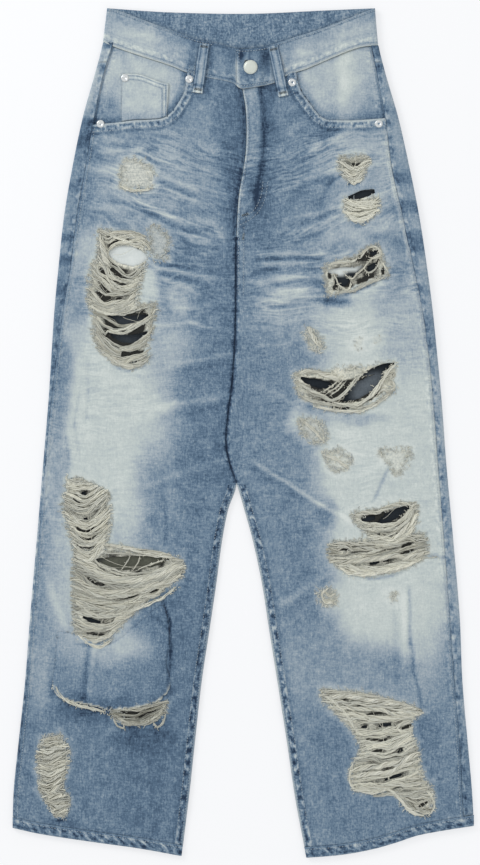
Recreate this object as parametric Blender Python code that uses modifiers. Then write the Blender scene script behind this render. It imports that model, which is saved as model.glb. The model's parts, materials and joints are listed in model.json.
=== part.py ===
"""Ripped high-waisted jeans with straight wide legs, laid flat on their back.

The wearer's right is -X, the waist is +Y and the front faces +Z. The tables below are in
millimetres, from an origin under the middle of the garment; MM turns them into metres.
Every cloth piece is cut as its own sheet: a grid moved onto the garment's form, thickened
inwards by Solidify. Pieces stay SEAM apart where they are sewn.
"""

import math
from collections import namedtuple

import bmesh
import bpy

MM = 0.001

# Cloth and stack heights, from the surface the jeans lie on
DENIM = 1.2             # a denim panel
LINING = 1.0            # pocket bag cotton and pocket facing
DOUBLED = 2.4           # the waistband, two layers and their turnings
HEM_WALL = 2.2          # a turned hem
SEAM = 0.3              # gap between pieces that are sewn together
HIP_LIFT = 1.5          # the back rides this high on its patch pockets and belt loops
HIP_TOP = 7.0           # top of the front at the hips
LEG_TOP = 4.8           # top of the front in the legs
HEM_TOP = 5.1           # top of the hem
INNER_TOP = 2.9         # top of the front where it turns down to the inner leg edge
INNER_TURN = 9.0        # width of that turn
HEM_DEPTH = 13.0
CURVED_SEAM = 0.6       # the gap along the waistband and the hems, whose edges curve
CROTCH = -61.0          # where the two legs part
UNDER_END = 17.0        # the waistband's under end, past the fly
OVER_END = -7.5         # the waistband's over end
OVER_RISE = 2.7         # the over end lies this much above the rest of the band
FLARE_RIGHT = 1.03      # how much wider the waistband is at its foot, each side
FLARE_LEFT = 1.024
BUTTON = (8.7, 438.6)
BUTTON_RADIUS = 8.4
RIVET_RADIUS = 4.8
LOOP_WIDTH = 13.0
LOOP_THICK = 1.3

# The outline: both side edges, and how far each back piece comes round onto the front
Side = namedtuple("Side", "y right left right_lip left_lip")
SIDES = [
    Side(510, -163.5, 158.1, 13.0, 9.0),
    Side(470, -168.2, 161.6, 12.6, 9.0),
    Side(430, -178.4, 171.2, 10.8, 10.8),
    Side(380, -192.4, 185.8, 14.4, 16.2),
    Side(320, -205.0, 199.4, 17.0, 22.4),
    Side(260, -215.2, 211.4, 16.4, 20.8),
    Side(200, -221.8, 220.6, 15.6, 17.0),
    Side(150, -226.6, 227.2, 12.0, 13.4),
    Side(100, -230.0, 232.4, 8.4, 11.4),
    Side(40, -233.9, 238.2, 4.8, 11.0),
    Side(-40, -240.6, 244.2, 3.6, 11.0),
    Side(-130, -248.2, 252.4, 3.4, 12.0),
    Side(-220, -256.0, 260.0, 3.4, 13.0),
    Side(-300, -262.2, 263.4, 3.4, 10.6),
    Side(-380, -270.8, 270.4, 3.4, 11.0),
    Side(-430, -275.8, 274.8, 3.4, 13.0),
    Side(-474, -277.0, 277.0, 3.4, 13.0),
    Side(-512, -277.0, 277.0, 3.4, 13.0),
]

# The middle: one line down the fly and the crotch seam, then the two inner leg edges
Middle = namedtuple("Middle", "y right left")
MIDDLES = [
    Middle(512, -7.5, -7.5),
    Middle(452, -7.5, -7.5),
    Middle(413, -1.1, -1.1),
    Middle(385, 3.2, 3.2),
    Middle(343, 3.4, 3.4),
    Middle(314, -0.3, -0.3),
    Middle(284, -5.3, -5.3),
    Middle(238, -8.1, -8.1),
    Middle(162, -8.8, -8.8),
    Middle(108, -10.2, -10.2),
    Middle(60, -13.3, -13.3),
    Middle(23, -18.0, -18.0),
    Middle(-14, -20.4, -20.4),
    Middle(-40, -15.0, -15.0),
    Middle(CROTCH, -8.0, -8.0),
    Middle(-92, -18.0, 1.2),
    Middle(-130, -25.4, 11.6),
    Middle(-182, -32.4, 22.6),
    Middle(-240, -41.0, 31.6),
    Middle(-300, -50.0, 41.2),
    Middle(-370, -57.8, 52.2),
    Middle(-440, -65.4, 62.6),
    Middle(-512, -74.4, 76.3),
]

# Cross lines: the waistband's edges and the hems, each a height for a place across
Cross = namedtuple("Cross", "x y")
BAND_TOP = [
    Cross(-163.5, 510), Cross(-152, 507.4), Cross(-120, 495.6), Cross(-86, 483), Cross(-54, 472),
    Cross(-29, 466.6), Cross(-7, 461), Cross(10, 461), Cross(28, 464), Cross(62, 475),
    Cross(90, 483.6), Cross(125, 497), Cross(158, 510),
]
BAND_FOOT = [
    Cross(-168.4, 469.2), Cross(-150, 461.8), Cross(-120, 451.7), Cross(-86, 440.6),
    Cross(-66, 432.2), Cross(-42, 426.6), Cross(-12, 420.0), Cross(-4, 413.6), Cross(4, 413.4),
    Cross(37, 420), Cross(53, 429.2), Cross(78, 438), Cross(107, 450.6), Cross(138, 462.4),
    Cross(162, 465.6),
]
BACK_TOP = [Cross(-163.5, 510), Cross(-90, 505.2), Cross(8, 503.4), Cross(90, 507), Cross(158, 510)]
RIGHT_HEM = [
    Cross(-277.4, -474), Cross(-244, -481.4), Cross(-184, -490.6), Cross(-124, -499), Cross(-74, -508),
]
LEFT_HEM = [
    Cross(76, -510), Cross(117, -506.6), Cross(156, -499.6), Cross(186, -491), Cross(209, -483.4),
    Cross(240, -477.4), Cross(277.4, -471.6),
]
YOKE_SIDE = 445.0
YOKE_CENTRE = 398.0

# Front pocket mouths, from the waistband round to the side seam
RIGHT_MOUTH = [
    Cross(-66.9, 440), Cross(-67.6, 426), Cross(-70.8, 409), Cross(-78, 396), Cross(-86, 385),
    Cross(-96, 378), Cross(-110, 376), Cross(-132, 375), Cross(-152, 372.4), Cross(-190, 369),
]
LEFT_MOUTH = [
    Cross(63, 440), Cross(64.5, 425), Cross(69.5, 410), Cross(79, 396.5), Cross(89, 383.5),
    Cross(99, 376.6), Cross(114, 375.2), Cross(138, 375.4), Cross(160, 377), Cross(190, 379),
]

# The holes worn right through the front, between the threads that still cross each rip
Hole = namedtuple("Hole", "side x y width height tilt sag")
HOLES = [
    Hole("right", -130, 213, 60, 22, 0, 0),
    Hole("right", -136, 146, 56, 8, 0, 7),
    Hole("right", -137, 124, 50, 7, 2, 9),
    Hole("right", -189, -74, 24, 5, 0, 2),
    Hole("right", -191, -100, 26, 4, 0, 4),
    Hole("right", -122, -164, 86, 15, -3, 4),
    Hole("right", -182, -226, 46, 6, -12, 2),
    Hole("left", 146, 288, 26, 8, 10, 0),
    Hole("left", 131, 190, 54, 15, 18, 0),
    Hole("left", 90, 54, 46, 9, -4, 4),
    Hole("left", 152, 53, 66, 18, 27, 3),
    Hole("left", 152, -100, 22, 6, 0, 2),
    Hole("left", 181, -96, 36, 9, 22, 3),
    Hole("left", 170, -158, 84, 4, 8, 0),
    Hole("left", 162, -350, 78, 4, 0, 3),
    Hole("left", 176, -379, 52, 4, 8, 2),
    Hole("left", 179, -415, 54, 4, 10, 0),
]

# The largest folds of the front: a crest from one point to another
Fold = namedtuple("Fold", "side x0 y0 x1 y1 height width")
FOLDS = [
    Fold("left", 12, 425, 11, 300, 1.3, 11),
    Fold("right", -176, 318, -96, 296, 0.7, 12),
    Fold("right", -150, 262, -60, 222, 0.8, 12),
    Fold("right", -96, 196, -40, 180, 0.6, 12),
    Fold("right", -110, 96, -34, 116, 0.6, 14),
    Fold("right", -96, -20, -36, 18, 0.6, 14),
    Fold("right", -190, -196, -188, -290, 0.8, 12),
    Fold("right", -70, -330, -46, -300, 0.6, 14),
    Fold("left", 40, 226, 120, 228, 0.7, 12),
    Fold("left", 96, 300, 190, 330, 0.7, 12),
    Fold("left", 34, 172, 110, 168, 0.6, 12),
    Fold("left", 20, -36, 92, -88, 0.9, 13),
    Fold("left", 204, -180, 208, -330, 1.0, 12),
    Fold("left", 60, -200, 110, -170, 0.6, 14),
]

# Shares of the way across a front panel and down it where its grid has a line
FRONT_ACROSS = [0, 0.09, 0.18, 0.27, 0.36, 0.46, 0.56, 0.65, 0.73, 0.81, 0.89, 0.95, 0.98, 1]
BACK_ACROSS = [0, 0.18, 0.36, 0.54, 0.72, 0.88, 1]

# Rows of a leg's grid above the crotch and below it, the same on both legs
FRONT_ROWS = (18, 16)
BACK_ROWS = (16, 14)
PATCH_ROWS = range(22, 31)
WRAP_STEPS = 4

# The knee patch's corners and its ragged foot, on the right leg
PATCH_EDGE = [
    Cross(-223, -238), Cross(-205, -240), Cross(-180, -250), Cross(-158, -252), Cross(-126, -228),
    Cross(-97, -206), Cross(-90, -224), Cross(-88, -250), Cross(-92, -276), Cross(-87, -298),
    Cross(-90, -310), Cross(-103, -322), Cross(-136, -331), Cross(-160, -332), Cross(-190, -326),
    Cross(-219, -318), Cross(-229, -306), Cross(-226, -275),
]
PATCH_THICK = 1.0

# Pockets: the facing and the bag of the front ones, and the patch pockets on the seat
FACING_INNER = 58.0     # how near the middle the facing reaches
FACING_FOOT = 352.0
BAG_INNER = (92.0, 72.0)        # the bag's inner edge at its foot and at the waist
BAG_INSET = (52.0, 30.0)        # and how far it stays inside the side edge
BAG_FOOT = {"right": 158.0, "left": 172.0}
COIN_THICK = 0.9
SEAT_CENTRE = 104.0
SEAT_HALF = (70.0, 62.0)        # half the width at the top and at the foot
SEAT_TOP = 384.0
SEAT_FOOT = 242.0
SEAT_POINT = 12.0

# The waistband's stations: shares along its under run and its back, and places on its over run
UNDER_RUN = [0, 0.08, 0.16, 0.26, 0.38, 0.5, 0.62, 0.74, 0.85, 0.93, 1]
BACK_RUN = [0, 0.17, 0.34, 0.5, 0.66, 0.83, 1]
OVER_RUN = [147, 136, 122, 108, 94, 80, 66, 54, 44, 36, 28.5, 25, 19, 12, 2, OVER_END]
TURN_STEPS = 4          # steps of the band's turn at each side

# Heights of a front belt loop above the band, from its top end down
LOOP_RISE = (0, 0, 0.9, 1.3, 1.3, 1.1, 0.6, 0, 0)

# Round pieces: (radius, height) points from the middle of the top to the middle of the foot
BUTTON_SHANK = 2.9
BUTTON_PROFILE = [
    (0, 2.6), (3.4, 2.4), (6.2, 1.8), (BUTTON_RADIUS - 0.5, 1.1), (BUTTON_RADIUS, 0.6),
    (BUTTON_RADIUS - 0.5, 0), (BUTTON_SHANK, 0),
]
RIVET_PROFILE = [
    (0, 0.4), (1.6, 0.4), (2.6, 1.1), (4.0, 0.9), (RIVET_RADIUS, 0.3), (RIVET_RADIUS, 0), (0, 0),
]
RIVETS = {
    "rivet_right_mouth": (-64.8, 424.5, HIP_TOP),
    "rivet_coin": (-142.0, 426.0, HIP_TOP - SEAM),
    "rivet_right_side": (-171.3, 370.8, HIP_TOP),
    "rivet_left_mouth": (58.6, 420.5, HIP_TOP),
    "rivet_left_side": (162.6, 371.0, HIP_TOP),
}

# The zip and its tape: left and right of the fly's line, top, foot and upper face
ZIP_REACH = (6.0, 16.0)
ZIP_TOP = 408.0
ZIP_FOOT = 268.0
ZIP_LEVEL = 4.4
ZIP_THICK = 1.2

DENIM_BLUE = (0.20, 0.29, 0.42)
DENIM_DARK = (0.11, 0.17, 0.28)
DENIM_PALE = (0.42, 0.50, 0.58)
COTTON = (0.75, 0.74, 0.70)
STEEL = (0.78, 0.78, 0.76)


# ---------------------------------------------------------------- reading the tables


def hermite(a, b, slope_a, slope_b, span, t):
    """Cubic from a to b with the given slopes, at share t of the span."""
    t2, t3 = t * t, t * t * t
    return (
        a * (2 * t3 - 3 * t2 + 1)
        + slope_a * span * (t3 - 2 * t2 + t)
        + b * (3 * t2 - 2 * t3)
        + slope_b * span * (t3 - t2)
    )


def read(rows, key, column, at):
    """The smooth value of a table's column where its key column is `at`."""
    ordered = sorted(rows, key=lambda row: getattr(row, key))
    keys = [getattr(row, key) for row in ordered]
    values = [getattr(row, column) for row in ordered]
    at = min(max(at, keys[0]), keys[-1])
    last = len(keys) - 1
    i = min(max(sum(1 for k in keys if k <= at) - 1, 0), last - 1)

    def slope(j):
        before, after = max(j - 1, 0), min(j + 1, last)
        return (values[after] - values[before]) / (keys[after] - keys[before])

    span = keys[i + 1] - keys[i]
    return hermite(values[i], values[i + 1], slope(i), slope(i + 1), span, (at - keys[i]) / span)


def mix(a, b, share):
    return a + (b - a) * share


def eased(low, high, at):
    """0 below low, 1 above high, smooth between."""
    share = min(max((at - low) / (high - low), 0), 1)
    return share * share * (3 - 2 * share)


def side_edge(side, y):
    return read(SIDES, "y", side, y)


def lip(side, y):
    return read(SIDES, "y", side + "_lip", y)


def sign(side):
    """+1 where moving out to the side is +X."""
    return 1 if side == "left" else -1


def outseam(side, y):
    return side_edge(side, y) - sign(side) * lip(side, y)


def inner_edge(side, y):
    return read(MIDDLES, "y", side, y) + sign(side) * SEAM / 2


def row_height(top, foot, row, rows):
    """Height of a leg grid's row: rows are shared out above and below the crotch."""
    above, below = rows
    if row <= above:
        return mix(top, CROTCH, row / above)
    return mix(CROTCH, foot, (row - above) / below)


def hem_foot(side, x):
    return read(LEFT_HEM if side == "left" else RIGHT_HEM, "x", "y", x)


def back_foot(x):
    """Lower edge of the waistband at the back."""
    side = eased(-168.4, 162, x)
    return read(BACK_TOP, "x", "y", x) - mix(510 - 469.2, 510 - 465.6, side)


# ---------------------------------------------------------------- heights


def top_level(y):
    """Height of the front's upper face at the side seams."""
    hips = mix(LEG_TOP, HIP_TOP, eased(20, 130, y))
    return mix(hips, HEM_TOP, eased(-430, -470, y))


def back_level(y):
    """Height of the back's under face."""
    return HIP_LIFT * eased(185, 226, y)


def fold_height(side, x, y):
    total = 0.0
    for fold in FOLDS:
        if fold.side != side:
            continue
        dx, dy = fold.x1 - fold.x0, fold.y1 - fold.y0
        length = math.hypot(dx, dy)
        along = ((x - fold.x0) * dx + (y - fold.y0) * dy) / length
        across = ((x - fold.x0) * dy - (y - fold.y0) * dx) / length
        past = max(-along, along - length, 0)
        total += fold.height * math.exp(-((across / fold.width) ** 2) - (past / (2 * fold.width)) ** 2)
    return total


def front_level(side, x, y):
    """Height of the front's upper face, above a point of the leg."""
    inward = abs(x - outseam(side, y))
    from_inner = abs(x - inner_edge(side, y))
    dip = 0.7 * eased(8, 60, inward) * eased(120, 20, y) * eased(-460, -420, y)
    turned = eased(INNER_TURN, 0, from_inner) * eased(-40, -84, y) * (top_level(y) - dip - INNER_TOP)
    folds = fold_height(side, x, y) * eased(0, 22, inward) * eased(-464, -430, y)
    if y < CROTCH:
        folds *= eased(0, 16, from_inner)
    return top_level(y) - dip - turned + folds


# ---------------------------------------------------------------- making pieces


def clear_scene():
    for old in list(bpy.data.objects):
        bpy.data.objects.remove(old, do_unlink=True)


def collection(name):
    made = bpy.data.collections.new(name)
    bpy.context.scene.collection.children.link(made)
    return made


def finish_material(name, colour, roughness=0.9, metallic=0.0):
    material = bpy.data.materials.new(name)
    material.use_nodes = True
    shader = material.node_tree.nodes["Principled BSDF"]
    shader.inputs["Base Color"].default_value = (*colour, 1)
    shader.inputs["Roughness"].default_value = roughness
    shader.inputs["Metallic"].default_value = metallic
    return material


def add_object(name, shape, group, colour, roughness=0.9, metallic=0.0):
    """An object from a bmesh whose points are in millimetres."""
    bmesh.ops.scale(shape, vec=(MM, MM, MM), verts=shape.verts)
    mesh = bpy.data.meshes.new(name)
    shape.to_mesh(mesh)
    shape.free()
    mesh.materials.append(finish_material(name, colour, roughness, metallic))
    made = bpy.data.objects.new(name, mesh)
    group.objects.link(made)
    return made


def sheet(name, columns, rows, place, thickness, group, colour, outward=None):
    """A cloth sheet: a grid whose points `place(column, row)` puts on its outer face."""
    shape = bmesh.new()
    bmesh.ops.create_grid(shape, x_segments=columns - 1, y_segments=rows - 1, size=1)
    for vert in shape.verts:
        column = round((vert.co.x + 1) / 2 * (columns - 1))
        row = round((vert.co.y + 1) / 2 * (rows - 1))
        vert.co = place(column, row)
    if outward is not None:
        turn_outward(shape, outward)
    made = add_object(name, shape, group, colour)
    thicken(made, thickness)
    return made


def turn_outward(shape, outward):
    """Flip the faces where their shared direction points away from `outward`."""
    shape.normal_update()
    faces = list(shape.faces)
    facing = sum(face.normal.dot(outward(face.calc_center_median())) for face in faces)
    if facing < 0:
        bmesh.ops.reverse_faces(shape, faces=faces)


def thicken(made, thickness):
    wall = made.modifiers.new("wall", "SOLIDIFY")
    wall.thickness = thickness * MM
    wall.offset = -1
    wall.use_even_offset = True


def prism(name, outline, low, high, group):
    """A straight-sided solid on a flat outline of (x, y) points, for cutting."""
    shape = bmesh.new()
    face = shape.faces.new([shape.verts.new((x, y, low)) for x, y in outline])
    raised = bmesh.ops.extrude_face_region(shape, geom=[face])
    lifted = [item for item in raised["geom"] if isinstance(item, bmesh.types.BMVert)]
    bmesh.ops.translate(shape, verts=lifted, vec=(0, 0, high - low))
    bmesh.ops.recalc_face_normals(shape, faces=shape.faces)
    made = add_object(name, shape, group, DENIM_DARK)
    made.hide_render = True
    made.display_type = "WIRE"
    return made


def cut(made, cutters, operation="DIFFERENCE"):
    trim = made.modifiers.new("cut", "BOOLEAN")
    trim.operation = operation
    trim.solver = "EXACT"
    if isinstance(cutters, bpy.types.Collection):
        trim.operand_type = "COLLECTION"
        trim.collection = cutters
    else:
        trim.object = cutters


def upward(_point):
    return (0, 0, 1)


def downward(_point):
    return (0, 0, -1)


# ---------------------------------------------------------------- the legs


def front_point(side, across, row):
    """A point of a front panel's upper face, by its share across and its row."""
    x = mix(outseam(side, 440), inner_edge(side, 420), across)
    for _ in range(3):
        top = read(BAND_FOOT, "x", "y", x) - CURVED_SEAM
        x = mix(outseam(side, top), inner_edge(side, top), across)
    hem_x = mix(outseam(side, -474), inner_edge(side, -500), across)
    foot = hem_foot(side, hem_x) + HEM_DEPTH + CURVED_SEAM
    y = row_height(top, foot, row, FRONT_ROWS)
    x = mix(outseam(side, y) - sign(side) * 1.5 * SEAM, inner_edge(side, y), across)
    return x, y, front_level(side, x, y)


def front_leg(side, group, holes):
    def place(column, row):
        return front_point(side, FRONT_ACROSS[column], row)

    columns, rows = len(FRONT_ACROSS), sum(FRONT_ROWS) + 1
    made = sheet("front_leg_" + side, columns, rows, place, DENIM, group, DENIM_BLUE, upward)
    cut(made, holes)
    return made


def wrap_point(side, y, step):
    """Outer face of a back piece where it comes round the side edge, and the end of its lip."""
    low, high = back_level(y), top_level(y)
    radius = (high - low) / 2
    edge = side_edge(side, y)
    if step > WRAP_STEPS:
        return outseam(side, y), high
    angle = math.pi * (step / WRAP_STEPS - 0.5)
    x = edge - sign(side) * radius * (1 - math.cos(angle))
    return x, low + radius * (1 + math.sin(angle))


def back_place(side, height):
    """place() for a back piece: flat from the middle to the side, round it, and onto the front.
    `height(share, step, row)` is a grid point's place up the garment."""
    flat = len(BACK_ACROSS)

    def place(column, row):
        step = column - flat + 1
        share = BACK_ACROSS[column] if step <= 0 else 1.0
        y = height(share, step, row)
        if step > 0:
            x, z = wrap_point(side, y, step)
            return x, y, z
        start = wrap_point(side, y, 0)[0]
        return mix(inner_edge(side, y), start, share), y, back_level(y)

    return place


def back_x(side, y, share, step):
    if step > WRAP_STEPS:
        return outseam(side, y)
    if step == WRAP_STEPS:
        return wrap_point(side, y, step)[0]
    return mix(inner_edge(side, y), side_edge(side, y), share)


def yoke_line(share):
    return mix(YOKE_CENTRE, YOKE_SIDE, share)


def back_leg(side, group):
    def height(share, step, row):
        top = yoke_line(share) - SEAM / 2
        foot = hem_foot(side, back_x(side, -480, share, step)) + HEM_DEPTH + CURVED_SEAM
        return row_height(top, foot, row, BACK_ROWS)

    place = back_place(side, height)
    columns, rows = len(BACK_ACROSS) + WRAP_STEPS + 1, sum(BACK_ROWS) + 1
    return sheet("back_leg_" + side, columns, rows, place, DENIM, group, DENIM_BLUE, downward)


def back_yoke(side, group):
    rows = 4

    def height(share, step, row):
        x = back_x(side, 466, share, step)
        band = read(BAND_FOOT, "x", "y", x) if step >= WRAP_STEPS else back_foot(x)
        return mix(band - CURVED_SEAM, yoke_line(share) + SEAM / 2, row / (rows - 1))

    place = back_place(side, height)
    columns = len(BACK_ACROSS) + WRAP_STEPS + 1
    return sheet("back_yoke_" + side, columns, rows, place, DENIM, group, DENIM_BLUE, downward)


def hem(side, group):
    """The turned hem: a flattened tube round the end of a leg."""
    arc, flat = 4, 11
    around = 2 * (arc + flat)
    shape = bmesh.new()
    bmesh.ops.create_cone(
        shape, cap_ends=False, segments=around, radius1=1, radius2=1, depth=2
    )
    radius = HEM_TOP / 2
    for vert in shape.verts:
        turn = (math.atan2(vert.co.y, vert.co.x) / math.tau) % 1
        step = math.floor(turn * around + 0.25) % around
        rise = vert.co.z > 0
        vert.co = hem_point(side, step, rise, arc, flat, radius)
    turn_outward(shape, lambda point: (0, 0, 1 if point.z > radius else -1))
    made = add_object("hem_" + side, shape, group, DENIM_BLUE)
    thicken(made, HEM_WALL)
    return made


def hem_point(side, step, rise, arc, flat, radius):
    """Point of the hem's outer face: round the side, over the front, round the inside, back."""
    reach = HEM_DEPTH if rise else 0
    outer = side_edge(side, -480) - sign(side) * radius
    inner_y = -508 + reach
    inner = inner_edge(side, inner_y) + sign(side) * radius
    half = arc + flat
    leg = step % half
    back_half = step >= half
    if leg < arc:
        angle = math.pi * leg / arc + (math.pi if back_half else 0) - math.pi / 2
        centre = inner if back_half else outer
        x = centre + sign(side) * radius * math.cos(angle)
        z = radius * (1 + math.sin(angle))
    else:
        share = (leg - arc) / flat
        x = mix(outer, inner, 1 - share if back_half else share)
        z = 0 if back_half else 2 * radius
    return x, hem_foot(side, x) + reach, z


# ---------------------------------------------------------------- holes, mouths and pockets


def lens(hole):
    """Outline of a worn hole: pointed ends, tilted, its middle sagging."""
    outline = []
    steps = 6
    tilt = math.radians(hole.tilt)
    for edge in (1, -1):
        for i in range(steps):
            share = -1 + 2 * i / steps
            bulge = (1 - share * share) ** 0.75
            across = edge * share * hole.width / 2
            rise = -edge * bulge * hole.height / 2 - hole.sag * (1 - share * share)
            outline.append((
                hole.x + across * math.cos(tilt) - rise * math.sin(tilt),
                hole.y + across * math.sin(tilt) + rise * math.cos(tilt),
            ))
    return outline


def hole_cutters(side, parent):
    """The solids that cut a front panel's worn holes and its pocket mouth."""
    group = bpy.data.collections.new("cutters_" + side)
    parent.children.link(group)
    for number, hole in enumerate(one for one in HOLES if one.side == side):
        prism(f"cut_{side}_{number}", lens(hole), 1, 14, group)
    mouth = LEFT_MOUTH if side == "left" else RIGHT_MOUTH
    outline = [(point.x, point.y) for point in mouth]
    outline += [(sign(side) * 190, 480), (outline[0][0], 480)]
    prism(f"cut_{side}_mouth", outline, 1, 14, group)
    return group


def mouth_height(side, x):
    """Height of the pocket mouth's lower run at a place across."""
    mouth = LEFT_MOUTH if side == "left" else RIGHT_MOUTH
    return read(mouth, "x", "y", x)


def flat_piece(name, edges, top, foot, level, thickness, group, colour, size):
    """A sheet that lies level: its two edges are functions of y, its top and foot of x."""
    left_edge, right_edge = edges
    columns, rows = size
    centre = (left_edge(YOKE_CENTRE) + right_edge(YOKE_CENTRE)) / 2

    def place(column, row):
        across, down = column / (columns - 1), row / (rows - 1)
        middle = mix(top(centre), foot(centre), down)
        x = mix(left_edge(middle), right_edge(middle), across)
        y = mix(top(x), foot(x), down)
        return x, y, level

    return sheet(name, columns, rows, place, thickness, group, colour, upward)


def pocket_top(x):
    """Upper end of what hangs inside a front pocket: just under the waistband."""
    return read(BAND_FOOT, "x", "y", x) - SEAM


def pocket_facing(side, group):
    """The denim that shows inside the pocket mouth; it runs under the front panel."""
    def outer(y):
        return outseam(side, y) + sign(side) * 5 * SEAM

    def inner(_y):
        return sign(side) * FACING_INNER

    def foot(_x):
        return FACING_FOOT

    name, level = "pocket_facing_" + side, HIP_TOP - DENIM - SEAM
    return flat_piece(name, (outer, inner), pocket_top, foot, level, DENIM, group, DENIM_PALE, (7, 5))


def pocket_bag(side, group):
    """The cotton bag that hangs inside, and shows through the rips at the thigh."""
    def outer(y):
        return side_edge(side, y) - sign(side) * mix(*BAG_INSET, eased(150, 400, y))

    def inner(y):
        return sign(side) * mix(*BAG_INNER, eased(150, 400, y))

    def foot(_x):
        return BAG_FOOT[side]

    name, level = "pocket_bag_" + side, HIP_LIFT + DENIM + SEAM + LINING
    return flat_piece(name, (outer, inner), pocket_top, foot, level, LINING, group, COTTON, (4, 8))


def coin_pocket(group):
    def left_edge(y):
        return mix(-146, -145, eased(375, 430, y))

    def right_edge(y):
        return mix(-92, -89.5, eased(375, 420, y))

    def top(x):
        return mix(431, 419, eased(-132, -88, x))

    def foot(x):
        return mouth_height("right", x) + 0.8

    edges, level = (left_edge, right_edge), HIP_TOP - SEAM
    return flat_piece("coin_pocket", edges, top, foot, level, COIN_THICK, group, DENIM_PALE, (6, 3))


def back_pocket(side, group):
    """Patch pocket on the seat: the jeans rest on it."""
    columns, rows = 5, 4

    def place(column, row):
        share = column / (columns - 1) * 2 - 1
        down = row / (rows - 1)
        half = mix(*SEAT_HALF, down)
        foot = SEAT_FOOT - SEAT_POINT * (1 - abs(share))
        return sign(side) * SEAT_CENTRE + share * half, mix(SEAT_TOP, foot, down), 0

    return sheet("back_pocket_" + side, columns, rows, place, DENIM, group, DENIM_BLUE, downward)


def knee_patch(group, cutters):
    """The patch over the right knee: the front panel's own points, moved out, trimmed to shape."""
    def place(column, row):
        x, y, z = front_point("right", FRONT_ACROSS[column], PATCH_ROWS[row])
        return x, y, z + SEAM + PATCH_THICK

    columns, rows = 11, len(PATCH_ROWS)
    made = sheet("knee_patch", columns, rows, place, PATCH_THICK, group, DENIM_BLUE, upward)
    outline = [(point.x, point.y) for point in PATCH_EDGE]
    cut(made, prism("cut_patch", outline, 2, 14, cutters), "INTERSECT")
    return made


# ---------------------------------------------------------------- waistband and belt loops


def side_turn(name, centre, radius, middle, way):
    """Stations of the band's half turn at one side: `way` is -1 going under, 1 coming back up."""
    stations = []
    for step in range(1, TURN_STEPS):
        angle = math.pi * step / TURN_STEPS
        x = centre + way * radius * math.sin(angle)
        stations.append((name, x, middle - way * radius * math.cos(angle)))
    return stations


def band_stations():
    """Stations (run, x, z) of the waistband's outer face, from the under end round the right
    side, the back and the left side to the over end."""
    radius = (HIP_TOP - HIP_LIFT) / 2
    middle = HIP_LIFT + radius
    right, left = SIDES[0].right + radius, SIDES[0].left - radius
    stations = [("front", mix(UNDER_END, right, share), HIP_TOP) for share in UNDER_RUN]
    stations += side_turn("right", right, radius, middle, -1)
    stations += [("back", mix(right, left, share), HIP_LIFT) for share in BACK_RUN]
    stations += side_turn("left", left, radius, middle, 1)
    for x in [left] + OVER_RUN:
        stations.append(("front", x, HIP_TOP + OVER_RISE * eased(28, 19, x)))
    return stations


def band_point(station, at_foot):
    """The band flares a little towards its foot, as the hips do."""
    where, x, z = station
    if not at_foot:
        top_line = BACK_TOP if where == "back" else BAND_TOP
        return x, read(top_line, "x", "y", x), z
    flared = x * (FLARE_RIGHT if x < 0 else FLARE_LEFT)
    if where == "front":
        return flared, read(BAND_FOOT, "x", "y", flared), z
    return flared, back_foot(flared), z


def waistband(group, cutters):
    stations = band_stations()

    def place(column, row):
        top, foot = band_point(stations[column], False), band_point(stations[column], True)
        return tuple(mix(a, b, row / 2) for a, b in zip(top, foot))

    def outward(point):
        return (0, 0, 1 if point.z > (HIP_TOP + HIP_LIFT) / 2 else -1)

    made = sheet("waistband", len(stations), 3, place, DOUBLED, group, DENIM_BLUE, outward)
    cut(made, buttonhole_cutter(cutters))
    return made


def buttonhole_cutter(cutters):
    """Keyhole through the over end only: a round eye with a slit up towards the end."""
    eye, slit = 3.4, 0.5
    reach = 13.0
    lean = math.radians(128)
    outline = []
    for i in range(9):
        angle = lean + math.radians(20) + math.radians(320) * i / 8
        outline.append((BUTTON[0] + eye * math.cos(angle), BUTTON[1] + eye * math.sin(angle)))
    for edge in (-1, 1):
        outline.append((
            BUTTON[0] + reach * math.cos(lean) - edge * slit * math.sin(lean),
            BUTTON[1] + reach * math.sin(lean) + edge * slit * math.cos(lean),
        ))
    return prism("cut_buttonhole", outline, HIP_TOP + 0.1, 14, cutters)


def belt_loop(name, start, end, levels, group):
    """A loop of folded denim sewn down at both ends; `levels` are its under face's heights."""
    rows = len(levels)
    dx, dy = end[0] - start[0], end[1] - start[1]
    length = math.hypot(dx, dy)
    normal = (dy / length, -dx / length)

    def place(column, row):
        share = row / (rows - 1)
        offset = (column / 2 - 0.5) * LOOP_WIDTH
        x = start[0] + dx * share + normal[0] * offset
        y = start[1] + dy * share + normal[1] * offset
        return x, y, levels[row] + LOOP_THICK

    return sheet(name, 3, rows, place, LOOP_THICK, group, DENIM_BLUE, upward)


def belt_loops(group):
    front = [HIP_TOP + SEAM + rise for rise in LOOP_RISE]
    flat = [0, 0, 0]
    belt_loop("belt_loop_front_right", (-46.5, 467), (-54.9, 408), front, group)
    belt_loop("belt_loop_front_left", (35.6, 464), (48.3, 404), front, group)
    belt_loop("belt_loop_back_right", (-112, 505), (-114, 452), flat, group)
    belt_loop("belt_loop_back_centre", (0, 502), (0, 448), flat, group)
    belt_loop("belt_loop_back_left", (112, 506), (114, 452), flat, group)


# ---------------------------------------------------------------- hardware and zip


def turned(name, profile, centre, group, colour, segments=20):
    """A round piece: a profile of (radius, height) points turned about a vertical axis."""
    shape = bmesh.new()
    points = [shape.verts.new((radius, 0, height)) for radius, height in profile]
    for a, b in zip(points, points[1:]):
        shape.edges.new((a, b))
    made = add_object(name, shape, group, colour, 0.35, 1.0)
    made.location = (centre[0] * MM, centre[1] * MM, 0)
    turn = made.modifiers.new("turn", "SCREW")
    turn.steps = turn.render_steps = segments
    turn.use_merge_vertices = True
    turn.merge_threshold = 0.00001
    turn.use_smooth_shade = False
    return made


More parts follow.
